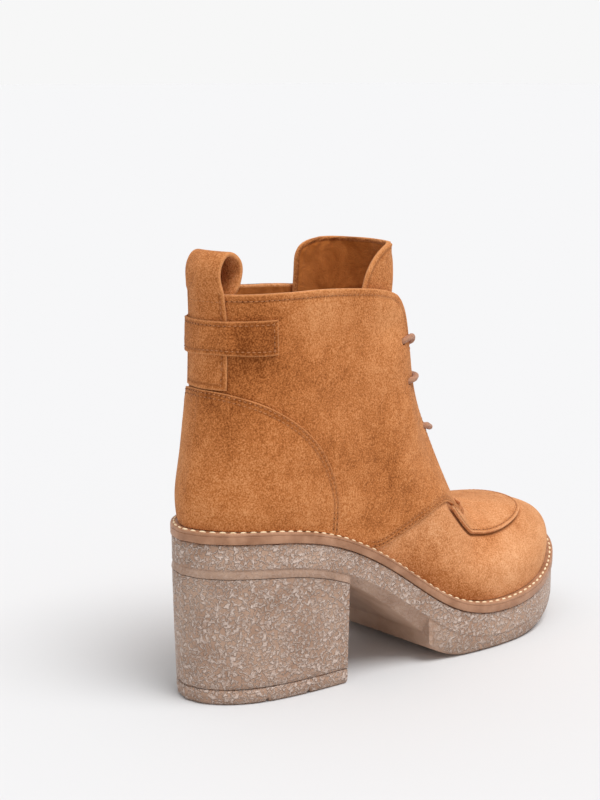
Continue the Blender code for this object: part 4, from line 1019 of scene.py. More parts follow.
# The apron takes the suede copy with painted light, as it faces up to the light
leather_piece("apron_suede", turn, rise, GAP * 2.0, LAYER * 1.5, ("low", "high"),
              ((0, 1.7, 0.0, 1.0),), SUEDE_PAINTED_LIGHT, ("apron",), "suede_light")
make_upper(look_up(SKIN, *refined(turn[0], rise[0])))
print("apron ready,", len(SEAM_LINES), "rows of stitches so far")

# %% [markdown]
# ## Tongue and strap
#
# The tongue is a sheet folded into a U, sewn in under the vamp and standing free above the
# collar. The strap is one strip from the counter to the collar, where it turns over into the
# pull loop and goes down inside. Both are rows of section points with smooth curves through
# them, so they can be read and changed row by row.

# %% Tongue
TONGUE_THICK = 0.0022
TONGUE_CLEAR = 0.0010
TONGUE_STAND = 0.0225
TONGUE = (
    (0.298, 1.000, 0.284, 0.940, 0.02),
    (0.280, 1.000, 0.262, 0.890, 0.02),
    (0.265, 1.000, 0.240, 0.830, 0.02),
    (0.245, 1.000, 0.214, 0.820, 0.02),
    (0.228, 1.000, 0.194, 0.850, 0.03),
    (0.210, 0.970, 0.182, 0.920, 0.11),
    (0.198, 0.980, 0.170, 0.960, 0.22),
)
TONGUE_FOOT = (
    ((0.318, 0.860), (0.336, 0.870), (0.362, 0.880), (0.497, 0.880)),
    ((0.298, 0.915), (0.309, 0.950), (0.322, 0.980), (0.497, 0.980)),
)
TONGUE_TOP = (
    (0.35, 0.03, 0.95, 1.00),
    (0.65, 0.04, 0.82, 0.99),
    (0.83, 0.03, 0.66, 0.92),
    (0.94, 0.01, 0.50, 0.76),
    (1.00, 0.00, 0.30, 0.50),
)
TONGUE_SECTIONS = 12
# In mm from the edge: its radius, the seam and its width, the gathers and their width
TONGUE_EDGE, TONGUE_SEAM, TONGUE_PRESS = 1.1, 2.3, 0.7
GATHER_PLACE, GATHER_WIDTH = 3.5, 3.0
GATHER_DEPTH, GATHER_WAVES = 0.00022, 62
THIN_END = 0.02  # least share of the thickness left at a rounded end


def tucked(turn, rise):
    """Middle of the tongue where it lies against the inside of the upper."""
    return leather(turn, rise, -(WALL + TONGUE_CLEAR + TONGUE_THICK / 2))


def tongue_rows():
    """Section points of the tongue from its foot under the vamp to its free top."""
    rows = []
    for places in TONGUE_FOOT:
        lateral = [tucked(u, v) for u, v in places]
        rows.append([*lateral, *[tucked(1 - u, v) for u, v in places[2::-1]]])
    knots = np.arange(len(TONGUE))
    for row in glide(knots, TONGUE, np.linspace(0, knots[-1], TONGUE_SECTIONS)):
        edge_turn, edge_rise, wing_turn, wing_rise, crown = row
        middle = ((edge_turn + wing_turn) / 2, (edge_rise + wing_rise) / 2)
        places = ((wing_turn, wing_rise), middle, (edge_turn, edge_rise))
        lateral = [tucked(u, v) for u, v in places]
        medial = [tucked(1 - u, v) for u, v in places]
        span = medial[-1] - lateral[-1]
        centre = (medial[-1] + lateral[-1]) / 2
        outward = np.cross(centre - np.array(rows[-1])[2:5:2].mean(axis=0), span)
        outward *= np.sign(outward[0]) / np.linalg.norm(outward)
        rows.append([*lateral, centre + outward * crown * np.linalg.norm(span), *medial[::-1]])
    collar = np.array(rows[-1])
    middle = len(collar) // 2
    sides = np.arange(-middle, middle + 1)
    for share, lean, lateral_left, medial_left in TONGUE_TOP:
        left = np.where(sides < 0, lateral_left, medial_left)
        row = glide(np.arange(len(collar)), collar, middle + sides * left)
        row[:, 2] += (collar[middle, 2] - row[:, 2]) * share
        rows.append(list(row + np.array([lean, 0.0, share]) * TONGUE_STAND))
    return np.array(rows)


def make_tongue(columns=90, lines=170):
    """Tongue with a rounded turned edge, lined on the inside."""
    sections = []
    for row in tongue_rows():
        travel = travelled(row)
        places = np.interp(np.linspace(0, 6, columns), np.arange(7), travel)
        sections.append(glide(travel, row, places))
    sections = np.array(sections)
    heights = np.linalg.norm(np.diff(sections, axis=0), axis=2).mean(axis=1)
    travel = np.concatenate([[0.0], np.cumsum(heights)])
    near_top = travel[-1] - travel[-1] * (1 - np.linspace(0, 1, lines)) ** 1.25
    middle = glide(travel, sections.reshape(len(travel), -1), near_top).reshape(lines, columns, 3)
    along = np.gradient(middle, axis=0)
    free = ease((near_top - travel[-len(TONGUE_TOP) - 1]) / 0.004)[:, None, None]
    along = unit(along) * (1 - free) + UP * free
    normal = unit(np.cross(np.gradient(middle, axis=1), along))
    edge = nearest(middle, np.concatenate([middle[:, 0], middle[-1], middle[:, -1]]))
    half = TONGUE_THICK / 2 * rounded(edge, TONGUE_EDGE, THIN_END)
    sewn = (near_top > travel[-len(TONGUE_TOP) - 2])[:, None]
    press = bell(edge, TONGUE_PRESS, TONGUE_SEAM) * sewn
    waves = np.sin(np.linspace(0, 1, columns) * GATHER_WAVES)
    gather = waves * bell(edge, GATHER_WIDTH, GATHER_PLACE) * free[..., 0]
    front = middle + normal * (half - 0.0002 * press)[..., None]
    back = middle - normal * (half - 0.0003 * press + GATHER_DEPTH * gather)[..., None]
    return sheet("tongue_suede", front, back, SUEDE, ("tongue",), "suede",
                 edge=(edge, edge), seam=(press, press), inside=(0, edge > TONGUE_SEAM))


tongue = make_tongue()
print("tongue top", round(max(vertex.co.z for vertex in tongue.data.vertices) * 1000, 1), "mm up")

# %% Strap with the pull loop
LOOP_WIDTH = 0.0230
LOOP_THICK = 0.0020
LOOP_TUCK = 0.0110
LOOP = (
    (-0.0024, 0.0060, 0.80), (-0.0015, 0.0120, 0.60), (0.0040, 0.0175, 0.45),
    (0.0098, 0.0135, 0.60), (0.0092, 0.0060, 0.80), (0.0056, 0.0000, 1.00),
)
STRAP_EDGE, STRAP_SEAM, STRAP_PRESS = 0.6, 2.2, 0.6  # mm


def make_strap(columns=61, lines=260):
    """Strip up the back that turns over into the pull loop."""
    start = COUNTER_RISE + 1.5 * GAP / rib_length(0.0)
    sides = np.linspace(-1, 1, columns)
    rows = []
    for rise in np.linspace(start, 1, 16):
        width = STRIP_WIDTH + (LOOP_WIDTH - STRIP_WIDTH) * ease((rise - 0.9) / 0.1)
        turns = sides * turn_for(width / 2, 0.0, rise)
        rows.append(leather(turns, np.full(columns, rise), 2 * GAP + LAYER * 1.5))
    on_skin = len(rows)
    turns = sides * turn_for(LOOP_WIDTH / 2, 0.0, 1.0)
    edge = leather(turns, np.ones(columns), 0.0)
    for forward, height, curve in LOOP:
        row = edge + np.array([forward, 0.0, height])
        row[:, 0] -= (1 - curve) * (edge[:, 0] - edge[columns // 2, 0])
        rows.append(row)
    for drop in (LOOP_TUCK * 0.4, LOOP_TUCK):
        rows.append(leather(turns, 1 - drop / rib_length(turns), -WALL - 2 * GAP - LOOP_THICK / 2))
    rows = np.array(rows)
    travel = travelled(rows[:, columns // 2])
    places = np.linspace(0, travel[-1], lines)
    middle = spline(travel, rows.reshape(len(rows), -1), places).reshape(-1, columns, 3)
    normal = unit(np.cross(np.gradient(middle, axis=1), np.gradient(middle, axis=0)))
    loop = ease((places - travel[on_skin - 1]) / 0.003)[:, None]
    rim = np.concatenate([middle[:, 0], middle[:, -1], middle[0], middle[-1]])
    edge = nearest(middle, rim)
    full = 0.3 + 0.7 * rounded(edge, STRAP_EDGE, THIN_END)
    half = (LAYER + (LOOP_THICK - LAYER) * loop) / 2 * full
    flat = (1 - loop) * (places < travel[on_skin - 1] + 0.001)[:, None]
    press = bell(edge, STRAP_PRESS, STRAP_SEAM) * flat
    outer = middle + normal * (half - 0.0002 * press)[..., None]
    inner = middle - normal * half[..., None]
    sheet("strap_suede", outer, inner, SUEDE, ("back_strip", "pull_loop"), "suede",
          edge=(edge, edge), seam=(press, 0), inside=(0, 0))
    rises = np.linspace(start + 0.02, 1 - 0.003 / 0.105, 200)
    for side in (-1, 1):
        turns = side * turn_for(STRIP_WIDTH / 2 - 0.0022, 0.0, rises)
        SEAM_LINES.append((turns, rises, 2 * GAP + LAYER * 2))
    turns = np.linspace(-1, 1, 80) * turn_for(LOOP_WIDTH / 2 - 0.0030, 0.0, 1.0)
    SEAM_LINES.append((turns, 1 - 0.0032 / rib_length(turns), 2 * GAP + LAYER * 2))
    return travel[-1]


print("strap", round(make_strap() * 1000, 1), "mm long")

# %% [markdown]
# ## Laces through punched holes
#
# The holes have no metal: a punch goes through quarter and upper together, so one round cutter
# does the same here. The lace comes out of one hole, lies over the facing and the tongue, and
# goes down into the hole across from it. The suede dips a little where the lace pulls.

# %% Laces
LACE_DIAMETER = 0.0028
HOLE = 0.0037
BARS = (
    ("lace_bar_high", 0.205, 0.850, 0.2230),
    ("lace_bar_mid", 0.218, 0.775, 0.2388),
    ("lace_bar_low", 0.2535, 0.895, 0.2636),
)
LACE_TWIST, LACE_RIBS, STRANDS = 5200.0, 0.07, 6
PUNCH_SIDES = 24
PUNCH_REACH = (-0.0032, 0.0040)


def round_bar(name, path, radius, sides, material, cad, twist=0.0, ribs=0.0):
    """Round cord along a path, with an optional braided surface."""
    run = unit(np.gradient(path, axis=0))
    first = np.empty(path.shape)
    first[0] = np.cross(run[0], UP if abs(run[0, 2]) < 0.9 else [1.0, 0.0, 0.0])
    for k in range(1, len(path)):
        first[k] = first[k - 1] - run[k] * (first[k - 1] @ run[k])
        first[k] /= np.linalg.norm(first[k])
    first[0] /= np.linalg.norm(first[0])
    second = np.cross(run, first)
    angle = np.arange(sides) * 2 * math.pi / sides
    strand, spin = angle[None] * STRANDS, travelled(path)[:, None] * twist
    reach = radius * (1 + ribs * np.sin(spin + strand) * np.sin(spin - strand))
    circle = first[:, None] * np.cos(angle)[:, None] + second[:, None] * np.sin(angle)[:, None]
    points = (path[:, None] + circle * reach[..., None]).reshape(-1, 3)
    faces = tube_faces(len(path), sides)
    faces.append(tuple(range(sides - 1, -1, -1)))
    faces.append(tuple((len(path) - 1) * sides + side for side in range(sides)))
    return add_piece(name, points, faces, material, cad)


def lace_path(hole_turn, hole_rise, edge_turn):
    """Way of one lace bar, from inside one hole over the tongue and into the other."""
    radius = LACE_DIAMETER / 2
    shares = np.array([-0.03, 0.0, 0.10, 0.34, 0.66, 1.0])
    lifts = np.array([-0.0021, 0.0, 0.0013, 0.0027, 0.0029, 0.0035])
    turns = hole_turn + (edge_turn - hole_turn) * shares
    rises = hole_rise + (1 - hole_rise) * shares
    lateral = leather(turns, rises, lifts)
    medial = leather(1 - turns, rises, lifts)
    chord = medial[-1] - lateral[-1]
    outward = np.cross(chord, UP)
    outward *= np.sign(outward[0]) / np.linalg.norm(outward)
    middle = (lateral[-1] + medial[-1]) / 2 + outward * radius * 1.6
    anchors = np.vstack([lateral, middle[None], medial[::-1]])
    travel = travelled(anchors)
    return spline(travel, anchors, np.linspace(0, travel[-1], 170))


def punch_holes():
    """Round holes for the laces through the quarters and the upper."""
    points, faces = [], []
    ends = range(PUNCH_SIDES), range(PUNCH_SIDES, 2 * PUNCH_SIDES)
    for _, hole_turn, rise, _ in BARS:
        for place in (hole_turn, 1 - hole_turn):
            centre = leather(place, rise, 0.0)
            normal = look_up(NORMAL, place, rise)
            first = np.cross(normal, UP)
            first /= np.linalg.norm(first)
            second = np.cross(normal, first)
            for face in (*tube_faces(2, PUNCH_SIDES), *ends):
                faces.append(tuple(len(points) + k for k in face))
            for lift in PUNCH_REACH:
                for angle in np.arange(PUNCH_SIDES) * 2 * math.pi / PUNCH_SIDES:
                    across = first * math.cos(angle) + second * math.sin(angle)
                    points.append(centre + normal * lift + across * HOLE / 2)
    mesh = bpy.data.meshes.new("punch")
    mesh.from_pydata((np.array(points) - SHIFT).tolist(), [], faces)
    turn_outward(mesh)
    punch = put("punch", mesh)
    for name in ("upper_suede", "quarter_lateral_suede", "quarter_medial_front_suede"):
        piece = bpy.data.objects[name]
        cut = piece.modifiers.new("holes", "BOOLEAN")
        cut.operation, cut.solver, cut.object = "DIFFERENCE", "EXACT", punch
        made = worked_out(piece)
        piece.modifiers.remove(cut)
        piece.data = made
    bpy.data.objects.remove(punch)


punch_holes()
for name, *places in BARS:
    round_bar(name + "_cord", lace_path(*places), LACE_DIAMETER / 2, 24, LACE, (name,),
              LACE_TWIST, LACE_RIBS)
print("lace bars:", len(BARS), "holes:", 2 * len(BARS))

# %% [markdown]
# ## Sole
#
# The sole is moulded: a rubber welt, a crepe wall that ends in a smooth band, the arch, the
# forefoot, and a stacked looking block heel with its top lift. Each is a stack of rings, all on
# the welt outline moved inward, with their heights read from the seat line. Stations run in
# pairs along the length, so flat faces close across the sole with plain strips.

# %% Rings along the sole
WELT_THICK = 0.0053
SOLE_SIDE = 0.0160
BAND_LINE = 0.0115
BAND_STEP = 0.0004
SOLE_INSET = 0.0006
SOLE_EDGE = 0.0016
ARCH_BEVEL = 0.0050
ARCH_EXTRA = 0.0042
INSOLE_TOP = 0.0016
HEEL_BREAST = 0.0700
HEEL_TAPER = 0.0013
LIFT_THICK = 0.0072
LIFT_GROOVE = 0.0005
ARCH_STEP = 0.1180
ROCKER_BACK = 0.0085
FLAT_START = 0.1440
FLAT_END = 0.1800
TOE_LIFT = 0.0190
NOTCH_WIDTH = 0.0026
NOTCH_DEPTH = 0.0020
HEEL_NOTCHES = (0.0260, 0.0480)
SOLE_NOTCH = 0.1500
WELT_TOP = WELT_THICK + GAP


def stations(front, count, extra):
    """Places along the length, closer together at the round ends."""
    if front >= LENGTH:
        along = LENGTH * (1 - np.cos(math.pi * np.arange(1, count) / count)) / 2
    else:
        along = front * (1 - np.cos(math.pi / 2 * np.arange(1, count + 1) / count))
    keep = [x for x in along if all(abs(x - e) > 0.0009 for e in extra) and x < front]
    keep = sorted(keep + [e for e in extra if e < front])
    return np.array(keep + ([front] if front < LENGTH else []))


def ring(places, inset, height, tip=True):
    """Ring on the outline moved inward; inset and height are functions of the station."""
    end = [DENSE_ROUND[TIP_INDEX]] if tip else []
    turns = np.array([0.0, *turn_at(places, -1), *end, *turn_at(places, 1)[::-1]])
    bare, _ = outline(turns)
    reach = inset(bare[:, 0]) if callable(inset) else np.full(len(turns), inset)
    plan, _ = outline(turns, reach)
    return np.column_stack([plan, height(plan[:, 0], bare[:, 0])])


def stack(name, rings, plain, material, cad):
    """Closed solid from rings of points, bottom first, with flat strips across both ends."""
    count = len(rings[0])
    faces = tube_faces(len(rings), count)
    for base, flip in ((0, True), ((len(rings) - 1) * count, False)):
        low, high = 1, count - 1
        caps = [(base, base + low, base + high)]
        while low + 1 < high - 1:
            caps.append((base + low, base + low + 1, base + high - 1, base + high))
            low, high = low + 1, high - 1
        if low + 1 == high - 1:
            caps.append((base + low, base + low + 1, base + high))
        faces.extend(tuple(reversed(cap)) if flip else cap for cap in caps)
    values = np.concatenate([np.broadcast_to(np.asarray(value, float), count) for value in plain])
    return add_piece(name, np.concatenate(rings), faces, material, cad, {"plain": values})


def notch_rise(along, centres):
    """Height of the tread notches over the floor."""
    rise = np.zeros(np.shape(along))
    for centre in centres:
        rise = np.maximum(rise, NOTCH_DEPTH * (1 - np.abs(along - centre) / (NOTCH_WIDTH / 2)))
    return np.maximum(rise, 0.0)


def notch_places(centres):
    """Stations at the edges and the middle of each tread notch."""
    return [c + side * NOTCH_WIDTH / 2 for c in centres for side in (-1, 0, 1)]


def underside(along, station):
    """Bottom of the sole: heel seat, arch, then the forefoot down to the floor."""
    under = seat(along) - WELT_THICK - SOLE_SIDE
    share = np.clip((along - HEEL_BREAST) / (ARCH_STEP - HEEL_BREAST), 0, 1)
    back = ROCKER_BACK * np.clip((FLAT_START - along) / (FLAT_START - ARCH_STEP), 0, 1) ** 2
    front = TOE_LIFT * np.clip((along - FLAT_END) / (LENGTH - FLAT_END), 0, 1) ** 1.8
    floor = np.maximum(back + front, notch_rise(station, (SOLE_NOTCH,)))
    return np.where(station <= ARCH_STEP, under - ARCH_EXTRA * share, floor)


def bevel(station):
    """Inset of the sole's bottom edge: wide under the arch, narrow under the forefoot."""
    rise = ease((station - HEEL_BREAST) / NOTCH_WIDTH)
    step = ease((station - ARCH_STEP) / NOTCH_WIDTH)
    return SOLE_INSET + ARCH_BEVEL * rise * (1 - step) + SOLE_EDGE * step


def lower_edge(station):
    """Inset where the sole's side starts."""
    return np.where(station <= ARCH_STEP, bevel(station) - SOLE_INSET / 2, SOLE_INSET)


def lower_height(along, station):
    """Height where the sole's side starts."""
    edge = np.where(station <= ARCH_STEP, SOLE_EDGE / 4, SOLE_EDGE)
    return underside(along, np.where(station > ARCH_STEP, ARCH_STEP + FLAT_START, station)) + edge


def below_seat(drop):
    """Height function at a distance under the seat line."""
    return lambda along, station: seat(along) - drop


def level(height):
    """Height function that is the same all round."""
    return lambda along, station: np.full(len(along), height)


# %% Outsole and welt
SMOOTH_SHARE, SMOOTH_FADE = 0.8, 0.012
extra = [ARCH_STEP, ARCH_STEP + GAP * 4, HEEL_BREAST, *notch_places((SOLE_NOTCH,))]
along = stations(LENGTH, 220, extra)
line = WELT_TOP + BAND_LINE
# The smooth band runs over the heel and the arch and fades out at the ball
beyond = ring(along, bevel, underside)[:, 0] - ARCH_STEP
smooth = SMOOTH_SHARE * (1 - ease(beyond / SMOOTH_FADE))
stack("outsole_crepe", [
    ring(along, bevel, underside),
    ring(along, lower_edge, lower_height),
    ring(along, SOLE_INSET + BAND_STEP, below_seat(line + BAND_STEP)),
    ring(along, SOLE_INSET + BAND_STEP * 0.3, below_seat(line + BAND_STEP * 0.5)),
    ring(along, SOLE_INSET, below_seat(line)),
    ring(along, SOLE_INSET, below_seat(line - 0.0003)),
    ring(along, SOLE_INSET, below_seat(WELT_TOP + BAND_STEP)),
    ring(along, SOLE_INSET + BAND_STEP, below_seat(WELT_TOP)),
], (1, smooth, smooth, smooth, smooth, 0, 0, 0), CREPE, ("outsole",))

# Inset from the outline and drop from the seat line, once round the welt's section; the
# shallow channel near the top edge holds the stitches
WELT_SECTION = (
    ("inner_low", None, 5.3), ("outer_low", 0.6, 5.3), ("low_corner", 0.15, 5.15),
    ("side_low", 0.0, 4.8), ("side_mid", 0.0, 3.0), ("groove_low", 0.0, 1.75),
    ("groove", 0.25, 1.55), ("bead_low", 0.05, 1.3), ("bead", 0.0, 0.9),
    ("bead_high", 0.15, 0.35), ("bead_top", 0.5, 0.05), ("top", 0.9, 0.0),
    ("channel_out", 1.2, 0.05), ("channel", 1.7, 0.4), ("channel_in", 2.2, 0.05),
    ("ledge", 2.6, 0.0), ("inner_top", None, 0.0),
)


def welt_edge(station):
    """Inset of the welt's inner edge, which is hidden under the upper."""
    return ledge(station) + WALL / 2


rings = []
for _, inset, drop in WELT_SECTION:
    reach = welt_edge if inset is None else inset * MM
    rings.append(ring(along, reach, below_seat(drop * MM)))
count = len(rings[0])
add_piece("welt_rubber_ring", np.concatenate(rings), tube_faces(len(rings), count, closed=True),
          WELT, ("welt",))


def insole_edge(station):
    """Inset of the insole, just inside the upper."""
    return ledge(station) + WALL + 2 * GAP


stack("insole_sock", [
    ring(along, insole_edge, below_seat(WELT_THICK)),
    ring(along, insole_edge, below_seat(-INSOLE_TOP + 0.0004)),
    ring(along, lambda s: insole_edge(s) + 0.0004, below_seat(-INSOLE_TOP)),
], (1, 1, 1), INSOLE, ("insole",))
print("sole and welt ready, rings of", count, "points")

# %% Heel block and top lift
heel_along = stations(HEEL_BREAST, 90, notch_places(HEEL_NOTCHES))
taper = SOLE_INSET + HEEL_TAPER


def heel_ring(inset, height):
    """Ring round the heel block, closed by the flat breast."""
    return ring(heel_along, inset, height, tip=False)


def heel_height(share):
    """Height function between the top lift and the outsole."""
    def height(along, station):
        top = seat(along) - WELT_THICK - SOLE_SIDE - GAP
        low = LIFT_THICK + GAP + LIFT_GROOVE
        return low + (top - low) * share
    return height


HEEL_LEVELS = (0.0, 0.04, 0.5, 0.88, 0.885, 1.0)
rings = [heel_ring(taper + LIFT_GROOVE, level(LIFT_THICK + GAP))]
for share in HEEL_LEVELS:
    bulge = HEEL_TAPER * (1 - share) ** 1.4
    rings.append(heel_ring(SOLE_INSET + bulge, heel_height(share)))
stack("heel_block_crepe", rings, [0] * len(rings), CREPE, ("heel_block",))
stack("top_lift_crepe", [
    heel_ring(taper + SOLE_EDGE, lambda a, s: notch_rise(s, HEEL_NOTCHES)),
    heel_ring(taper + SOLE_EDGE * 0.3, lambda a, s: (SOLE_EDGE + notch_rise(s, HEEL_NOTCHES)) * 0.7),
    heel_ring(taper, level(LIFT_THICK / 2)),
    heel_ring(taper, level(LIFT_THICK - LIFT_GROOVE)),
    heel_ring(taper + LIFT_GROOVE, level(LIFT_THICK)),
], (0.4, 0.1, 0, 0, 0), CREPE, ("top_lift",))
print("heel rings of", len(rings[0]), "points")

# %% [markdown]
# ## Zip
#
# The medial quarter opens with a nylon coil zip. The tape is a strip on the skin, the coil is
# one small tooth repeated along it, and the slider and its pull keep their CAD solids with
# softened edges.

# %% Zip
ZIP_TAPE_THICK = 0.0006
ZIP_CHAIN_WIDTH = 0.0044
ZIP_CHAIN_THICK = 0.0012
TOOTH_PITCH = 0.0013
COIL_RADIUS, COIL_LIFT, COIL_CLEAR = 0.00034, 0.0003, 0.0004
SOFT_EDGE = 0.00018  # bevel of the slider and the pull

rise, share = lattice(np.linspace(ZIP_OPEN, 1.0, 160), np.linspace(-1, 1, 13))
turn = ZIP_ROUND + share * turn_for(ZIP_GAP / 2 - GAP, np.full(rise.shape, ZIP_ROUND), rise)
sheet("zip_tape_cloth", leather(turn, rise, GAP + ZIP_TAPE_THICK), leather(turn, rise, GAP),
      TAPE, ("zip_tape",), "zip_fabric")


def make_coil():
    """Nylon coil: one winding per tooth, run along the zip as a flat spring."""
    rises = np.linspace(ZIP_OPEN + 0.004, 0.996, 2600)
    length = travelled(look_up(SKIN, ZIP_ROUND, rises))
    angle = length / TOOTH_PITCH * 2 * math.pi
    across = np.cos(angle) * (ZIP_CHAIN_WIDTH / 2 - COIL_CLEAR)
    lift = 2 * GAP + ZIP_TAPE_THICK + ZIP_CHAIN_THICK / 2 + np.sin(angle) * COIL_LIFT
    turns = ZIP_ROUND + across * turn_for(1.0, ZIP_ROUND, 0.6)
    path = leather(turns, rises, lift)
    round_bar("zip_coil", path, COIL_RADIUS, 7, TAPE, ("zip_chain",))
    return length[-1] / TOOTH_PITCH


print("zip teeth:", round(make_coil()))
for name, body in (("zip_slider", "boot"), ("zip_pull", "zip_pull")):
    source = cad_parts[name]
    item = put(name + "_metal", source.data.copy())
    work = bmesh.new()
    work.from_mesh(item.data)
    bmesh.ops.remove_doubles(work, verts=work.verts, dist=1e-6)
    bmesh.ops.dissolve_limit(work, angle_limit=math.radians(2), verts=work.verts, edges=work.edges)
    sharp = [edge for edge in work.edges if edge.calc_face_angle(0) > math.radians(35)]
    bmesh.ops.bevel(work, geom=sharp, offset=SOFT_EDGE, segments=2, affect="EDGES",
                    clamp_overlap=True)
    bmesh.ops.triangulate(work, faces=work.faces)
    work.to_mesh(item.data)
    work.free()
    item.data.materials.clear()
    item.data.materials.append(METAL)
    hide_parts(name)
    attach(item, body)

# %% [markdown]
# ## Stitches
#
# Every seam above left its row as a path on the skin. One Geometry Nodes group walks all the
# paths, sets a thread every few millimetres, turns it along the row and presses it a little
# into the leather. A node group repeats a small part cheaply, and the pitch stays one number.


# %% Stitch group
STITCH_SIZES = (("Pitch", 0.0032), ("Length", 0.0024), ("Width", 0.0006), ("Scatter", 0.05))


def stitch_group():
    """Node group that sets a thread along every edge path of a mesh."""
    group = bpy.data.node_groups.new("stitches", "GeometryNodeTree")
    face = group.interface
    face.new_socket("Geometry", in_out="INPUT", socket_type="NodeSocketGeometry")
    ids = {}
    for label, value in STITCH_SIZES:
        made = face.new_socket(label, in_out="INPUT", socket_type="NodeSocketFloat")
        made.default_value = value
        ids[label] = made.identifier
    made = face.new_socket("Material", in_out="INPUT", socket_type="NodeSocketMaterial")
    ids["Material"] = made.identifier
    face.new_socket("Geometry", in_out="OUTPUT", socket_type="NodeSocketGeometry")

    def node(kind, settings=None, **values):
        made = group.nodes.new(kind)
        for key, value in (settings or {}).items():
            setattr(made, key, value)
        for key, value in values.items():
            made.inputs[key].default_value = value
        return made

    entry = node("NodeGroupInput")
    leave = node("NodeGroupOutput")
    to_curve = node("GeometryNodeMeshToCurve")
    even = node("GeometryNodeResampleCurve", {"mode": "LENGTH"})
    normal = node("GeometryNodeInputNamedAttribute", {"data_type": "FLOAT_VECTOR"}, Name="out")
    tangent = node("GeometryNodeInputTangent")
    turn = node("FunctionNodeAxesToRotation", {"primary_axis": "X", "secondary_axis": "Z"})
    thread = node("GeometryNodeMeshUVSphere", None, Segments=8, Rings=5, Radius=0.5)
    shape = node("GeometryNodeTransform")
    size = node("ShaderNodeCombineXYZ")
    scatter = node("FunctionNodeRandomValue", {"data_type": "FLOAT"}, Seed=4)
    low = node("ShaderNodeMath", {"operation": "SUBTRACT"})
    high = node("ShaderNodeMath", {"operation": "ADD"})
    low.inputs[0].default_value = high.inputs[0].default_value = 1.0
    place = node("GeometryNodeInstanceOnPoints")
    real = node("GeometryNodeRealizeInstances")
    smooth = node("GeometryNodeSetShadeSmooth")
    paint = node("GeometryNodeSetMaterial")
    for source, out, target, into in (
        (entry, "Geometry", to_curve, "Mesh"),
        (to_curve, "Curve", even, "Curve"),
        (entry, "Pitch", even, "Length"),
        (tangent, "Tangent", turn, "Primary Axis"),
        (normal, "Attribute", turn, "Secondary Axis"),
        (entry, "Length", size, "X"),
        (entry, "Width", size, "Y"),
        (entry, "Width", size, "Z"),
        (thread, "Mesh", shape, "Geometry"),
        (size, "Vector", shape, "Scale"),
        (entry, "Scatter", low, 1),
        (entry, "Scatter", high, 1),
        (low, 0, scatter, 2),
        (high, 0, scatter, 3),
        (even, "Curve", place, "Points"),
        (shape, "Geometry", place, "Instance"),
        (turn, "Rotation", place, "Rotation"),
        (scatter, 1, place, "Scale"),
        (place, "Instances", real, "Geometry"),
        (real, "Geometry", smooth, "Geometry"),
        (smooth, "Geometry", paint, "Geometry"),
        (entry, "Material", paint, "Material"),
        (paint, "Geometry", leave, "Geometry"),
    ):
        group.links.new(source.outputs[out], target.inputs[into])
    return group, ids


STITCHES, STITCH_INPUTS = stitch_group()


def sew(name, rows, material, **sizes):
    """One mesh of threads along rows of points with their outward directions."""
    points = np.concatenate([row[0] for row in rows])
    normals = np.concatenate([row[1] for row in rows])
    edges, base = [], 0
    for row, _ in rows:
        edges += [(base + k, base + k + 1) for k in range(len(row) - 1)]
        base += len(row)
    mesh = bpy.data.meshes.new(name)
    mesh.from_pydata((points - SHIFT).tolist(), edges, [])
    out = mesh.attributes.new("out", "FLOAT_VECTOR", "POINT")
    out.data.foreach_set("vector", normals.astype(np.float32).ravel())
    item = put(name, mesh)
    sewn = item.modifiers.new("stitches", "NODES")
    sewn.node_group = STITCHES
    sewn[STITCH_INPUTS["Material"]] = material
    for label, value in sizes.items():
        sewn[STITCH_INPUTS[label]] = value
    made = worked_out(item)
    item.modifiers.clear()
    item.data = made
    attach(item, "boot")
    print(name, "has", len(made.polygons), "faces")


SEAM_PITCH, THREAD_SINK = 0.0024, 0.00014
# Needle holes, dark dots of painted shade, start two steps of the path later, between the threads
rows, holes = [], []
for turn, rise, lift in SEAM_LINES:
    rows.append((leather(turn, rise, lift - THREAD_SINK), look_up(NORMAL, turn, rise)))
    holes.append((rows[-1][0][2:], rows[-1][1][2:]))
sew("seam_stitches", rows, THREAD, Pitch=SEAM_PITCH, Length=0.0017, Width=0.00055)
sew("needle_hole_shades", holes, NEEDLE_HOLE_SHADE, Pitch=SEAM_PITCH, Length=0.0007, Width=0.0005)

# %% Welt stitches
CHANNEL_INSET, WELT_SINK = 0.0017, 0.00015
turns = np.linspace(0.004, 0.996, 900)
plan, _ = outline(turns, CHANNEL_INSET)
welt_row = np.column_stack([plan, seat(plan[:, 0]) - WELT_SINK])
sew("welt_stitches", [(welt_row, np.tile(UP, (len(turns), 1)))], THREAD_PALE,
    Pitch=0.0046, Length=0.0033, Width=0.0013, Scatter=0.08)

# %% [markdown]
# ## Camera, floor and light
#
# The photograph was taken from behind the lateral side, a little above the boot, against
# seamless white. A sky that is bright low down and overhead, and dimmer between, stands for the
# white sweep and a large soft box.

# %% Camera
AZIMUTH, CAMERA_HEIGHT, CAMERA_REACH = -43.61, 0.2813, 0.7988
AIM_X, YAW, PITCH, FOCAL_PIXELS = 0.110, 2.14, 11.02, 1671.4
PICTURE_HEIGHT = 800

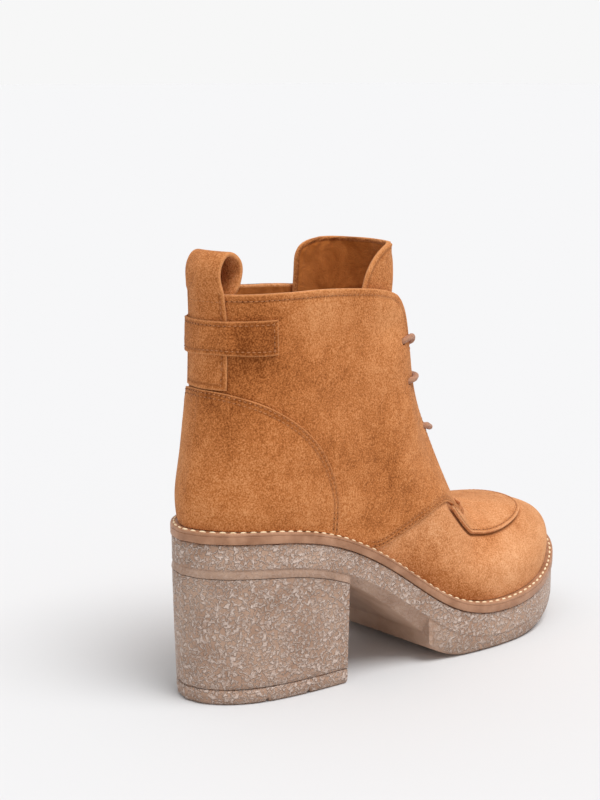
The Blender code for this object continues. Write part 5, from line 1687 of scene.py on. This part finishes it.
swing = math.radians(AZIMUTH)
spot = Vector((AIM_X + math.sin(swing) * CAMERA_REACH, -math.cos(swing) * CAMERA_REACH,
               CAMERA_HEIGHT)) - Vector(SHIFT)
turned = math.radians(AZIMUTH + YAW)
dip = math.radians(PITCH)
ahead = Vector((-math.sin(turned) * math.cos(dip), math.cos(turned) * math.cos(dip),
                -math.sin(dip)))
lens = bpy.data.cameras.new("camera")
lens.sensor_width = 36.0
lens.lens = FOCAL_PIXELS / PICTURE_HEIGHT * lens.sensor_width
camera = put("camera", lens)
camera.location = spot
camera.rotation_mode = "QUATERNION"
camera.rotation_quaternion = ahead.to_track_quat("-Z", "Y")
bpy.context.scene.camera = camera
print("camera at", [round(v, 3) for v in camera.location])

# %% Floor and light
FLOOR_TONE = (0.705, 0.705, 0.712, 1.0)
# Height in the sky, as the direction's upward part, and its brightness
SKY = ((0.0, 0.93), (0.14, 0.93), (0.32, 0.42), (0.62, 0.42), (0.80, 1.0))
SUN_AIM = (-0.10, 0.42, -1.0)

mesh = bpy.data.meshes.new("floor")
mesh.from_pydata([(-40, -40, 0), (40, -40, 0), (40, 40, 0), (-40, 40, 0)], [], [(0, 1, 2, 3)])
floor = put("floor", mesh)
floor_paint = Paint("floor_white", Base_Color=FLOOR_TONE, Roughness=1.0, Specular_IOR_Level=0.0)
mesh.materials.append(floor_paint.material)

world = bpy.data.worlds.new("studio")
bpy.context.scene.world = world
world.use_nodes = True
sky = world.node_tree
coordinate = sky.nodes.new("ShaderNodeTexCoord")
split = sky.nodes.new("ShaderNodeSeparateXYZ")
ramp = sky.nodes.new("ShaderNodeValToRGB")
sky.links.new(coordinate.outputs["Generated"], split.inputs[0])
sky.links.new(split.outputs["Z"], ramp.inputs["Fac"])
sky.links.new(ramp.outputs["Color"], sky.nodes["Background"].inputs["Color"])
set_stops(ramp.color_ramp, [(height, (value,) * 3) for height, value in SKY])

sun = bpy.data.lights.new("soft_box", "SUN")
sun.energy = 2.0
sun.angle = math.radians(35)
lamp = put("soft_box", sun)
lamp.rotation_mode = "QUATERNION"
lamp.rotation_quaternion = Vector(SUN_AIM).to_track_quat("-Z", "Y")
bpy.context.scene.view_settings.view_transform = "Standard"
print("stage: floor, sky of", len(SKY), "stops and one lamp of", sun.energy)
